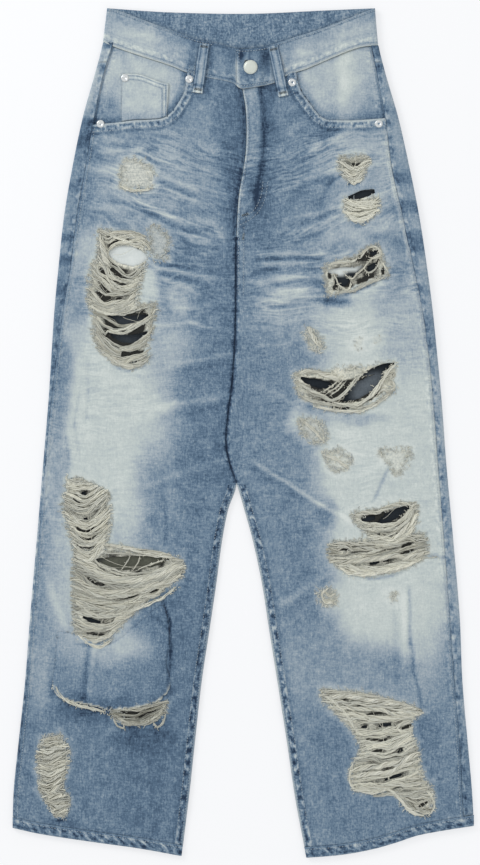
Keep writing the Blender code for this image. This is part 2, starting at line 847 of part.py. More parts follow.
def button(group):
    """Domed cap on a shank that passes through the buttonhole to the under end."""
    foot = HIP_TOP + SEAM
    cap = HIP_TOP + OVER_RISE + SEAM
    profile = [(radius, cap + height) for radius, height in BUTTON_PROFILE]
    profile += [(BUTTON_SHANK, foot), (0, foot)]
    return turned("button", profile, BUTTON, group, STEEL, 24)


def rivets(group):
    for name, (x, y, level) in RIVETS.items():
        profile = [(radius, level + SEAM + height) for radius, height in RIVET_PROFILE]
        turned(name, profile, (x, y), group, STEEL, 16)


def zip_fastener(group):
    """Closed zip on its tape, inside the fly."""
    def left_edge(y):
        return inner_edge("left", y) - ZIP_REACH[0]

    def right_edge(y):
        return inner_edge("left", y) + ZIP_REACH[1]

    def top(_x):
        return ZIP_TOP

    def foot(_x):
        return ZIP_FOOT

    return flat_piece("zip", (left_edge, right_edge), top, foot, ZIP_LEVEL, ZIP_THICK, group, STEEL, (3, 6))


def build():
    clear_scene()
    jeans = collection("ripped_jeans")
    cutters = collection("cutters")
    for side in ("right", "left"):
        front_leg(side, jeans, hole_cutters(side, cutters))
        back_leg(side, jeans)
        back_yoke(side, jeans)
        hem(side, jeans)
        pocket_facing(side, jeans)
        pocket_bag(side, jeans)
        back_pocket(side, jeans)
    coin_pocket(jeans)
    knee_patch(jeans, cutters)
    waistband(jeans, cutters)
    belt_loops(jeans)
    button(jeans)
    rivets(jeans)
    zip_fastener(jeans)


build()
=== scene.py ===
"""The looks of the ripped, high-waisted jeans with straight wide legs, laid flat on their back.

Run as a Blender script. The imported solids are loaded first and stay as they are; every cloth
piece then gets a fine shell on its solid's form, and the worn threads, the topstitching, the
hardware and a plain stage follow. The wearer's right is -X, the waist is +Y, the front faces
+Z. The tables are in millimetres, as a pattern cutter writes them; MM turns them into metres.
"""

import json
import math
from collections import namedtuple
from functools import partial

import bmesh
import bpy
import numpy as np
from bpy.props import FloatProperty, FloatVectorProperty, IntProperty, PointerProperty
from mathutils import Vector
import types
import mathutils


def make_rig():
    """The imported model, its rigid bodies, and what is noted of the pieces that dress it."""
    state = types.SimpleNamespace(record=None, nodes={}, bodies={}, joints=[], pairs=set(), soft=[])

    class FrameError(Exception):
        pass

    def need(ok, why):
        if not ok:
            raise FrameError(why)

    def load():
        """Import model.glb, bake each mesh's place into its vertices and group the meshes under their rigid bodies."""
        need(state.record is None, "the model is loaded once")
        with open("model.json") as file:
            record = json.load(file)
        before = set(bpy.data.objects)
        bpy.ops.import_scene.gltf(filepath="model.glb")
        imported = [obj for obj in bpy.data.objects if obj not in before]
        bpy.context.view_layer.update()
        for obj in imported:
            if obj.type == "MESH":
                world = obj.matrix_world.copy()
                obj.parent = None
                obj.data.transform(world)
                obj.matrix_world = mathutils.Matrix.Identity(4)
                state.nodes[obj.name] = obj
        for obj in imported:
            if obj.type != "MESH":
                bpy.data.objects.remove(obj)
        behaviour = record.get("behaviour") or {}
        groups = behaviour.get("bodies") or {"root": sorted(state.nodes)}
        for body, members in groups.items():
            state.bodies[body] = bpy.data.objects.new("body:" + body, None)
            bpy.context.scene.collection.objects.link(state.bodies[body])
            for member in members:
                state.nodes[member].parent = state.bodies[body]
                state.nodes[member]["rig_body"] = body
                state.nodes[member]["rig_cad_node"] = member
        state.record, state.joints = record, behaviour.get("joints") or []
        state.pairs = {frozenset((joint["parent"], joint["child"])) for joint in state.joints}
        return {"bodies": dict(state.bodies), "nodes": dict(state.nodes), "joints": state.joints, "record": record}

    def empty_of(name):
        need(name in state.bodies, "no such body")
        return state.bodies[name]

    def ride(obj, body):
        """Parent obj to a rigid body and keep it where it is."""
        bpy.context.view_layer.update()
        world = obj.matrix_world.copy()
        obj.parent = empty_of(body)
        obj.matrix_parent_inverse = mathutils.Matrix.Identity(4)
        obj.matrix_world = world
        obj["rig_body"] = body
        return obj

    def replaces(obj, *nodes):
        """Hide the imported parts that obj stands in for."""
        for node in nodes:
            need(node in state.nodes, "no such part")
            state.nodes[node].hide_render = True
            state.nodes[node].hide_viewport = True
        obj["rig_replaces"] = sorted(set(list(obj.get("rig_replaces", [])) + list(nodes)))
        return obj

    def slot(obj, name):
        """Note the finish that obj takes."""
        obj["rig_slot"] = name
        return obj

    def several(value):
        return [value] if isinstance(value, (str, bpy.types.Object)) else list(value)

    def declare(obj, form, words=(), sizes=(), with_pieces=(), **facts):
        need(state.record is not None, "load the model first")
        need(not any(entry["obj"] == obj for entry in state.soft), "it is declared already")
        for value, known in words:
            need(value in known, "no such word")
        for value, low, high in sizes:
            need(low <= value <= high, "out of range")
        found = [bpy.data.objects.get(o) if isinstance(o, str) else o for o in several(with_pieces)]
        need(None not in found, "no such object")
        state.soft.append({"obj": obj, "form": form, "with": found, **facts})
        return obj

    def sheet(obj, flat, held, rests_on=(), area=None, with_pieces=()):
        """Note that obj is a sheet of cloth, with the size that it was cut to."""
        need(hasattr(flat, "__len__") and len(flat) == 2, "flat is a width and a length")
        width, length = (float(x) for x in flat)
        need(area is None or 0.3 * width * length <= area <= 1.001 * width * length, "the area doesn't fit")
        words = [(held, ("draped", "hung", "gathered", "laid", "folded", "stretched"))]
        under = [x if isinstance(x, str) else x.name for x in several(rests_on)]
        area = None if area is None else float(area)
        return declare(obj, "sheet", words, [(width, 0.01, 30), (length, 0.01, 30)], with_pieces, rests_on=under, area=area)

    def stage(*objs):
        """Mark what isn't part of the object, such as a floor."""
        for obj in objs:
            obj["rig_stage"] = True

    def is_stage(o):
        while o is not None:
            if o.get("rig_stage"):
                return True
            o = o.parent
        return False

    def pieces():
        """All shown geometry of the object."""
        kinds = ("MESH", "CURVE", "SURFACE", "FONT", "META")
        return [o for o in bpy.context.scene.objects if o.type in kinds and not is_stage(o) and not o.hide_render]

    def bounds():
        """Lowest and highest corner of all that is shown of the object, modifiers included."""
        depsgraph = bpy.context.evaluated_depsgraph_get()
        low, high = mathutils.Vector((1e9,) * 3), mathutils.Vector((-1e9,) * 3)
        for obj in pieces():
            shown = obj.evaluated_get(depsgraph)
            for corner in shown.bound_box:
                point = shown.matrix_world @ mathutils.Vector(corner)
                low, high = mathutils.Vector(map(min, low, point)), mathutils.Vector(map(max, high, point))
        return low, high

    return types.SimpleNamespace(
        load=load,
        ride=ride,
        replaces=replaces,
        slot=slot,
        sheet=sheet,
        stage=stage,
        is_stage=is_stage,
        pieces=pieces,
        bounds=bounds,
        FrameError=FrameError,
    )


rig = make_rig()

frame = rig.load()
CAD_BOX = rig.bounds()

bl_info = {
    "name": "Ripped jeans",
    "version": (1, 0, 0),
    "blender": (4, 5, 0),
    "location": "3D View > Sidebar > Jeans",
    "description": "Washed, ripped denim jeans laid flat, with worn threads and topstitching",
    "category": "Add Mesh",
}

MM = 0.001
BODY = "root"
SIDE_NAMES = ("right", "left")


def rows(kind, *values):
    """A table's rows, from the values of each."""
    return [kind(*row) for row in values]


def sided(kind, **sides):
    """The rows of both sides in one table."""
    return [kind(side, *row) for side, group in sides.items() for row in group]


# ---------------------------------------------------------------- the cut, as the solids have it

DENIM = 1.2             # a denim panel
LINING = 1.0            # pocket bag cotton
SEAM = 0.3              # gap between pieces that are sewn together
HIP_LIFT = 1.5          # the back rides this high on its patch pockets and belt loops
HIP_TOP = 7.0           # top of the front at the hips
LEG_TOP = 4.8           # top of the front in the legs
HEM_TOP = 5.1
INNER_TOP = 2.9         # top of the front where it turns down to the inner leg edge
INNER_TURN = 9.0
HEM_DEPTH = 13.0
CURVED_SEAM = 0.6
CROTCH = -61.0
UNDER_END = 17.0        # the waistband's under end, past the fly
OVER_END = -7.5
OVER_RISE = 2.7
FLARE_RIGHT = 1.03
FLARE_LEFT = 1.024
BUTTON = (8.7, 438.6)
BUTTON_RADIUS = 8.4
RIVET_RADIUS = 4.8
YOKE_SIDE = 445.0
YOKE_CENTRE = 398.0
FRONT_ROWS = (18, 16)
BACK_ROWS = (16, 14)

Side = namedtuple("Side", "y right left right_lip left_lip")
SIDES = rows(
    Side,
    (510, -163.5, 158.1, 13.0, 9.0), (470, -168.2, 161.6, 12.6, 9.0), (430, -178.4, 171.2, 10.8, 10.8),
    (380, -192.4, 185.8, 14.4, 16.2), (320, -205.0, 199.4, 17.0, 22.4), (260, -215.2, 211.4, 16.4, 20.8),
    (200, -221.8, 220.6, 15.6, 17.0), (150, -226.6, 227.2, 12.0, 13.4), (100, -230.0, 232.4, 8.4, 11.4),
    (40, -233.9, 238.2, 4.8, 11.0), (-40, -240.6, 244.2, 3.6, 11.0), (-130, -248.2, 252.4, 3.4, 12.0),
    (-220, -256.0, 260.0, 3.4, 13.0), (-300, -262.2, 263.4, 3.4, 10.6), (-380, -270.8, 270.4, 3.4, 11.0),
    (-430, -275.8, 274.8, 3.4, 13.0), (-474, -277.0, 277.0, 3.4, 13.0), (-512, -277.0, 277.0, 3.4, 13.0))

Middle = namedtuple("Middle", "y right left")
MIDDLES = rows(
    Middle,
    (512, -7.5, -7.5), (452, -7.5, -7.5), (413, -1.1, -1.1), (385, 3.2, 3.2), (343, 3.4, 3.4),
    (314, -0.3, -0.3), (284, -5.3, -5.3), (238, -8.1, -8.1), (162, -8.8, -8.8), (108, -10.2, -10.2),
    (60, -13.3, -13.3), (23, -18.0, -18.0), (-14, -20.4, -20.4), (-40, -15.0, -15.0), (CROTCH, -8.0, -8.0),
    (-92, -18.0, 1.2), (-130, -25.4, 11.6), (-182, -32.4, 22.6), (-240, -41.0, 31.6), (-300, -50.0, 41.2),
    (-370, -57.8, 52.2), (-440, -65.4, 62.6), (-512, -74.4, 76.3))

Cross = namedtuple("Cross", "x y")
BAND_TOP = rows(
    Cross,
    (-163.5, 510), (-152, 507.4), (-120, 495.6), (-86, 483), (-54, 472), (-29, 466.6), (-7, 461), (10, 461),
    (28, 464), (62, 475), (90, 483.6), (125, 497), (158, 510))
BAND_FOOT = rows(
    Cross,
    (-168.4, 469.2), (-150, 461.8), (-120, 451.7), (-86, 440.6), (-66, 432.2), (-42, 426.6), (-12, 420.0),
    (-4, 413.6), (4, 413.4), (37, 420), (53, 429.2), (78, 438), (107, 450.6), (138, 462.4), (162, 465.6))
BACK_TOP = rows(Cross, (-163.5, 510), (-90, 505.2), (8, 503.4), (90, 507), (158, 510))
RIGHT_HEM = rows(Cross, (-277.4, -474), (-244, -481.4), (-184, -490.6), (-124, -499), (-74, -508))
LEFT_HEM = rows(
    Cross,
    (76, -510), (117, -506.6), (156, -499.6), (186, -491), (209, -483.4), (240, -477.4), (277.4, -471.6))
RIGHT_MOUTH = rows(
    Cross,
    (-66.9, 440), (-67.6, 426), (-70.8, 409), (-78, 396), (-86, 385), (-96, 378), (-110, 376), (-132, 375),
    (-152, 372.4), (-190, 369))
LEFT_MOUTH = rows(
    Cross,
    (63, 440), (64.5, 425), (69.5, 410), (79, 396.5), (89, 383.5), (99, 376.6), (114, 375.2), (138, 375.4),
    (160, 377), (190, 379))

# Holes worn right through the front, then slits between threads, too narrow to go through, painted dark as shade
Hole = namedtuple("Hole", "side x y width height tilt sag")
HOLES = sided(
    Hole,
    right=[
        (-138, 213, 48, 24, -8, 0), (-137, 144, 56, 11, 0, 9), (-137, 123, 52, 10, 2, 10),
        (-191, -72, 13, 4, 0, 0), (-190, -96, 28, 3.6, 4, 7), (-132, -151, 92, 17, 2, 5),
        (-178, -222, 48, 5, -16, 4)],
    left=[
        (143, 286.5, 37, 9, 14, 0), (119, 195, 42, 8, 5, 0), (119, 183, 18, 15, 10, 0),
        (133, 193, 28, 11, 28, 0), (155, 199, 16, 9, 35, 0), (157, 216, 12, 6, 18, 0),
        (90, 62, 48, 10, -13, 3), (143, 54, 60, 18, 33, 0), (164, 77, 42, 9, 20, 0),
        (151, -103, 22, 6.5, 10, 0), (181, -98, 43, 11.5, 29, 0), (160, -155, 60, 4, 12, 0),
        (167, -349, 74, 4, 7, 2), (190, -381, 14, 4, 24, 0), (180, -411, 57, 4, 19, 2)])
SLITS = sided(
    Hole,
    right=[
        (-169, 194, 14, 3, -58, 0), (-150, 192, 26, 2.6, -24, 2), (-146, 183, 30, 2.4, -12, 3),
        (-166, 176, 24, 2.4, -48, 2), (-150, 163, 26, 2, -20, 2), (-158, 132, 26, 2.4, -42, 2),
        (-128, 104, 40, 3, 8, 8), (-190, -112, 26, 3, 6, 7), (-187, -121, 22, 2.4, 4, 6),
        (-188, -134, 26, 2, 0, 4), (-178, -178, 30, 3, -30, 2), (-140, -197, 36, 2.6, 14, 2),
        (-107, -190, 16, 3.4, 18, 0), (-176, -240, 34, 2.4, -12, 2)],
    left=[
        (136, 323, 12, 4, -10, 2), (111, 175, 8, 7, 0, 0), (161, 205, 10, 4, 50, 0), (128, 176, 12, 4, 20, 0),
        (146, 184, 18, 4, 24, 0), (104, 190, 5, 10, 0, 0), (168, 194, 4, 10, 10, 0),
        (197, -134, 20, 3.8, 24, 0), (198, -142, 22, 2.6, 20, 0), (122, -140, 14, 3.6, 0, 0),
        (125, -320, 11, 2.4, 0, 0), (159, -337, 27, 2.6, 11, 0), (196, -353, 20, 4, 24, 0),
        (163, -368, 34, 2.6, 0, 1), (162, -381, 24, 2.6, 5, 1), (174, -402, 21, 2.6, 14, 0),
        (173, -428, 40, 2.8, 20, 2), (216, -446, 16, 3.6, 34, 0)])

Fold = namedtuple("Fold", "side x0 y0 x1 y1 height width")
FOLDS = sided(
    Fold,
    left=[
        (12, 425, 11, 300, 1.3, 11), (40, 226, 120, 228, 0.7, 12), (96, 300, 190, 330, 0.7, 12),
        (34, 172, 110, 168, 0.6, 12), (20, -36, 92, -88, 0.9, 13), (204, -180, 208, -330, 1.0, 12),
        (60, -200, 110, -170, 0.6, 14)],
    right=[
        (-176, 318, -96, 296, 0.7, 12), (-150, 262, -60, 222, 0.8, 12), (-96, 196, -40, 180, 0.6, 12),
        (-110, 96, -34, 116, 0.6, 14), (-96, -20, -36, 18, 0.6, 14), (-190, -196, -188, -290, 0.8, 12),
        (-70, -330, -46, -300, 0.6, 14)])

PATCH_EDGE = rows(
    Cross,
    (-223, -238), (-205, -240), (-180, -250), (-158, -252), (-126, -228), (-97, -206), (-90, -224),
    (-88, -250), (-92, -276), (-87, -298), (-90, -310), (-103, -322), (-136, -331), (-160, -332),
    (-190, -326), (-219, -318), (-229, -306), (-226, -275))
PATCH_THICK = 1.0

# ---------------------------------------------------------------- the wash: levels from 0 to 255

# Worn and dark areas, with painted shadows below the knee patch, beside the belt loops and along the fly: soft
# ellipses laid one over the other, the last on top
Fade = namedtuple("Fade", "side x y width height tilt level soft")
FADES = sided(
    Fade,
    right=[
        (-122, 330, 84, 62, -6, 152, 0.5), (-52, 330, 46, 100, 0, 140, 0.6), (-152, 185, 60, 75, 0, 164, 0.5),
        (-62, 195, 44, 80, 0, 130, 0.6), (-172, -5, 90, 160, 0, 198, 0.42), (-196, -175, 58, 92, 0, 176, 0.5),
        (-118, 176, 15, 26, 0, 196, 0.6), (-10, 330, 22, 115, 0, 106, 0.7), (-16, 90, 18, 150, 0, 114, 0.8),
        (-42, -60, 42, 100, 0, 112, 0.7), (-62, -230, 46, 90, 0, 106, 0.6), (-90, -420, 60, 110, 0, 106, 0.6),
        (-112, -368, 40, 20, 0, 94, 0.6), (-146, -256, 30, 22, 0, 178, 0.8),
        (-252, -190, 14, 90, 0, 150, 0.6), (-222, 72, 13, 84, 0, 144, 0.6), (-224, -36, 13, 60, 0, 166, 0.6),
        (-96, -95, 27, 76, 10, 132, 0.7), (-182, 222, 22, 28, 0, 182, 0.6), (-80, 232, 17, 30, 0, 120, 0.6),
        (-86, 105, 20, 28, 0, 172, 0.7), (-118, 336, 36, 20, 0, 134, 0.6), (-42, 275, 14, 20, 0, 122, 0.7),
        (-178, -330, 42, 13, 0, 84, 0.6), (-120, -360, 34, 14, 0, 80, 0.6), (-216, -474, 20, 14, 0, 100, 0.6),
        (-46, 420, 8, 16, 0, 92, 0.7), (-8, 288, 10, 44, 0, 88, 0.6), (-197, 172, 11, 34, 0, 144, 0.6),
        (-80, 160, 13, 14, 0, 170, 0.6), (-42, 158, 12, 14, 0, 112, 0.6), (-178, 335, 10, 14, 0, 126, 0.6),
        (-245, -272, 13, 62, 0, 152, 0.5)],
    left=[
        (142, 325, 62, 72, 0, 158, 0.5), (66, 290, 34, 60, 0, 128, 0.6), (24, 300, 18, 130, 0, 108, 0.7),
        (48, 150, 36, 46, 0, 160, 0.6), (140, -285, 100, 56, 0, 147, 0.6), (150, 150, 60, 60, 0, 176, 0.5),
        (165, -45, 82, 212, 7, 202, 0.34), (208, -60, 38, 205, 3, 198, 0.4), (60, 20, 30, 90, 0, 132, 0.8),
        (246, -345, 14, 34, 0, 136, 0.7), (92, 187, 14, 18, 0, 108, 0.6), (182, 158, 26, 28, 0, 158, 0.6),
        (192, 115, 30, 50, 0, 172, 0.6), (94, -98, 20, 18, 0, 132, 0.7), (165, -205, 58, 42, 0, 203, 0.5),
        (180, -280, 30, 18, 0, 138, 0.6), (98, 362, 24, 13, 0, 112, 0.6), (148, 247, 52, 16, 0, 166, 0.5),
        (34, 418, 12, 17, 0, 74, 0.7), (12, 302, 12, 17, 0, 82, 0.6), (2, 270, 5, 30, 0, 92, 0.6),
        (172, 220, 22, 13, 0, 132, 0.6), (186, 194, 16, 20, 0, 136, 0.6), (110, 158, 16, 8, 0, 146, 0.6),
        (132, 17, 34, 8, 0, 168, 0.6), (214, -357, 24, 22, 0, 116, 0.6), (72, 14, 16, 12, 0, 176, 0.6)])
BASE_LEVEL = {"right": 121.0, "left": 124.0}
# The level of the back's strip that wraps onto the front, down each side
Strip = namedtuple("Strip", "y level")
STRIPS = {
    "right": rows(
        Strip,
        (500, 150), (430, 172), (395, 162), (365, 128), (250, 142), (120, 130), (20, 130), (-60, 150),
        (-200, 168), (-270, 148), (-350, 115), (-480, 118)),
    "left": rows(
        Strip,
        (500, 158), (430, 146), (398, 168), (370, 150), (250, 148), (120, 150), (40, 164), (-100, 154),
        (-220, 162), (-290, 134), (-350, 150), (-420, 128), (-480, 126)),
}

# The waistband's level along x, and its marks: painted shadows beside the belt loops, round the button and in the
# buttonhole, and pale marks at the over end
BAND_LEVELS = rows(
    Strip,
    (-165, 168), (-130, 184), (-105, 180), (-88, 170), (-70, 148), (-50, 122), (-30, 132), (-12, 128),
    (6, 126), (26, 132), (36, 146), (50, 164), (72, 176), (100, 174), (130, 182), (165, 160))
Mark = namedtuple("Mark", "x y width height tone")
BAND_MARKS = rows(
    Mark,
    (26, 450, 5.0, 12, -62), (-2.5, 452, 4, 5.5, -84), (2, 438, 9, 3, 30), (14, 452, 5, 6, 34),
    (9, 438, 10.5, 10.5, -44), (-8, 440, 1.8, 20, 60), (-6, 422, 1.8, 12, 50), (3, 449, 2.4, 5, 50),
    (-62, 450, 3.5, 15, -34), (-39, 448, 3, 16, -30), (-96, 466, 16, 3, -18), (-76, 452, 12, 2.5, 16),
    (30, 446, 3, 16, -28), (54, 450, 3.5, 14, -18), (88, 462, 16, 2.5, -16), (76, 456, 10, 3, 14),
    (-22, 446, 10, 3, -14), (-26, 436, 9, 2.5, 12), (120, 474, 18, 3, -12), (-130, 478, 14, 3, 10))

# What sewing leaves along each kind of edge, by the distance from it: pale rims and painted shade in the
# grooves, then the ticks of puckered cloth between two rows of stitches, and the fly's painted shadow
Line = namedtuple("Line", "at width tone")
Ticks = namedtuple("Ticks", "low high length tone")
EDGES = {
    "worn_denim": {
        "mouth": ([Line(1.1, 2.4, 0.18), Line(4.4, 1.8, -0.06), Line(7.6, 1.6, 0.03), Line(11.6, 3.0, -0.12)],
                  Ticks(1.5, 10, 4, 0.19)),
        "inner": ([Line(0.9, 1.6, 0.23), Line(3.2, 1.6, -0.08), Line(6.8, 2.6, -0.08), Line(8.9, 1.6, -0.05),
                   Line(12.2, 2.2, -0.03)], Ticks(3, 10.5, 7, 0.28)),
        "outer": ([Line(0.8, 2.0, -0.04), Line(5.0, 2.0, 0.02)], Ticks(0.5, 8, 8, 0.06)),
        "fly": ([Line(0.7, 1.5, 0.12), Line(3.2, 1.8, -0.06)], Ticks(2, 15, 9, 0.05)),
        # the painted shadow that the fly's lap casts on the right front beside it
        "under": ([Line(2.6, 3.2, -0.19), Line(7.0, 4.0, -0.04)], Ticks(2, 10, 12, 0.04)),
        "centre": ([Line(0.0, 3.8, -0.22), Line(0.5, 1.3, -0.16)], Ticks(0.5, 4.5, 5, 0.13)),
    },
    "strip_denim": {"strip": ([Line(0.3, 1.3, -0.18), Line(4.5, 5.0, -0.05)], Ticks(0.2, 7, 8, 0.14))},
    "band_denim": {
        "band_foot": ([Line(0.0, 1.4, 0.16), Line(1.9, 1.2, 0.02), Line(3.5, 1.2, -0.13),
                       Line(7.6, 3.4, 0.05), Line(11.2, 0.9, -0.03), Line(14.0, 2.0, -0.04)],
                      Ticks(3, 11, 5, 0.09)),
        "band_top": ([Line(1.0, 1.3, -0.06), Line(2.9, 1.6, -0.12)], Ticks(1, 6, 6, 0.06)),
    },
    "hem_denim": {"hem": ([Line(0.4, 1.0, 0.06), Line(3.8, 3.2, -0.09)], Ticks(1, 12, 6, 0.21))},
    "facing_denim": {
        "side": ([Line(1.6, 1.8, -0.12), Line(7.5, 2.5, 0.03)], Ticks(2, 9, 4, 0.06)),
        "coin": ([Line(0.5, 1.0, 0.10), Line(2.4, 0.9, -0.16), Line(4.4, 1.1, 0.08), Line(7.0, 1.0, -0.16)],
                 Ticks(1, 8, 3.2, 0.06)),
    },
}
TONE_AND_HEIGHT = {"Tone": "Float", "Height": "Float"}
STITCH_LENGTH = 2.5
STITCH_THICK = 0.75
EDGE_REACH = 40.0       # an edge's marks end this far from it

# Creases set by wear, and painted shadows under rips and along the knee patch: a line, its width, and how much lighter
# (a ridge) or darker (a trough)
Crease = namedtuple("Crease", "side x0 y0 x1 y1 width shade")
CREASES = sided(
    Crease,
    right=[
        (-167, 338, -123, 342, 3, 22), (-123, 341, -92, 325, 3, 20), (-147, 346, -104, 340, 3, -16),
        (-108, 312, -59, 294, 3, 20), (-59, 294, -12, 287, 3, 12), (-104, 299, -59, 280, 3, 18),
        (-59, 280, -24, 274, 3, 10), (-112, 306, -64, 286, 2.5, -18), (-142, 284, -86, 260, 3, 22),
        (-86, 260, -50, 245, 3, 16), (-194, 275, -147, 265, 4, 14), (-186, 318, -160, 316, 5, 20),
        (-159, 272, -98, 265, 3, 16), (-98, 265, -24, 248, 3, 14), (-150, 276, -94, 257, 2.5, -20),
        (-90, 247, -50, 233, 3, 16), (-100, 254, -52, 240, 2.5, -20), (-102, 206, -39, 193, 2.5, -20),
        (-98, 199, -39, 186, 3, 18), (-95, 191, -46, 179, 2.5, -18), (-93, 184, -58, 168, 2.5, 24),
        (-100, 152, -50, 150, 3, 10), (-106, 131, -59, 132, 2.5, 22), (-59, 132, -12, 118, 2.5, 20),
        (-78, 84, -12, 97, 3, 18), (-82, 73, -16, 85, 4, -10), (-90, 32, -12, 47, 4, 16),
        (-94, 16, -22, 34, 5, -10), (-112, -61, -26, -32, 4, 12), (-93, -90, -93, -130, 2, -20),
        (-213, 4, -209, -40, 2, -12), (-198, 43, -202, 10, 1.5, -12), (-202, 10, -198, -23, 1.5, -12),
        (-186, 88, -188, 16, 2, -8), (-232, -182, -215, -229, 5, 14), (-132, -425, -110, -455, 3, 10),
        (-185, -256, -191, -316, 2.5, -26), (-95, -203, -87, -228, 1.5, -44),
        (-87, -228, -88, -262, 1.5, -44), (-88, -262, -91, -296, 1.5, -34), (-108, -222, -90, -236, 2, -18),
        (-178, -256, -184, -316, 3, 12), (-30, 242, -27, 238, 3, 26)],
    left=[
        (80, 338, 129, 364, 3, 18), (74, 328, 120, 340, 3, -12), (70, 306, 117, 319, 3, 18),
        (68, 296, 114, 308, 3, -14), (63, 260, 120, 272, 3, 16), (61, 240, 110, 258, 3, 16),
        (63, 250, 114, 265, 3, -16), (153, 280, 181, 294, 3, 14), (154, 258, 188, 272, 3, -14),
        (20, 215, 93, 216, 4, 26), (22, 208, 93, 209, 2.5, -22), (20, 202, 92, 203, 3, 20),
        (18, 194, 92, 196, 2.5, -20), (20, 182, 96, 188, 4, 22), (38, 178, 94, 181, 2.5, -22),
        (44, 169, 98, 172, 3, 24), (32, 157, 93, 164, 3, 18), (32, 152, 90, 158, 2.5, -18),
        (49, 136, 86, 138, 3, 12), (20, 103, 49, 108, 2, 16), (16, 56, 63, 35, 4, 14),
        (20, -40, 93, -86, 2.5, 30), (93, -86, 123, -103, 2.5, 20), (18, -47, 90, -92, 4, -10),
        (50, -203, 93, -176, 4, 16), (200, -190, 200, -250, 2, -22), (200, -250, 213, -329, 2, -24),
        (193, -200, 194, -272, 3, 12), (224, -148, 243, -149, 2, -26), (174, -40, 157, -79, 2, -24),
        (68, 106, 104, 124, 3, -8), (182, -224, 186, -320, 3, -8), (121, 310, 126, 298, 1.4, -30),
        (127, 298, 139, 309, 1.4, -26), (117, 310, 102, 300, 2, -22), (102, 300, 92, 280, 3, -16),
        (98, 172, 100, 159, 3.4, -34), (100, 159, 116, 160, 3.4, -34), (108, 164, 150, 176, 1.8, -30),
        (150, 176, 176, 189, 1.8, -30)])
CREASE_STRENGTH = 1.4

# ---------------------------------------------------------------- the rips

# Each rip is a ladder of threads: rungs from the top down, with their two ends and their sag
Rung = namedtuple("Rung", "left_x left_y right_x right_y sag")
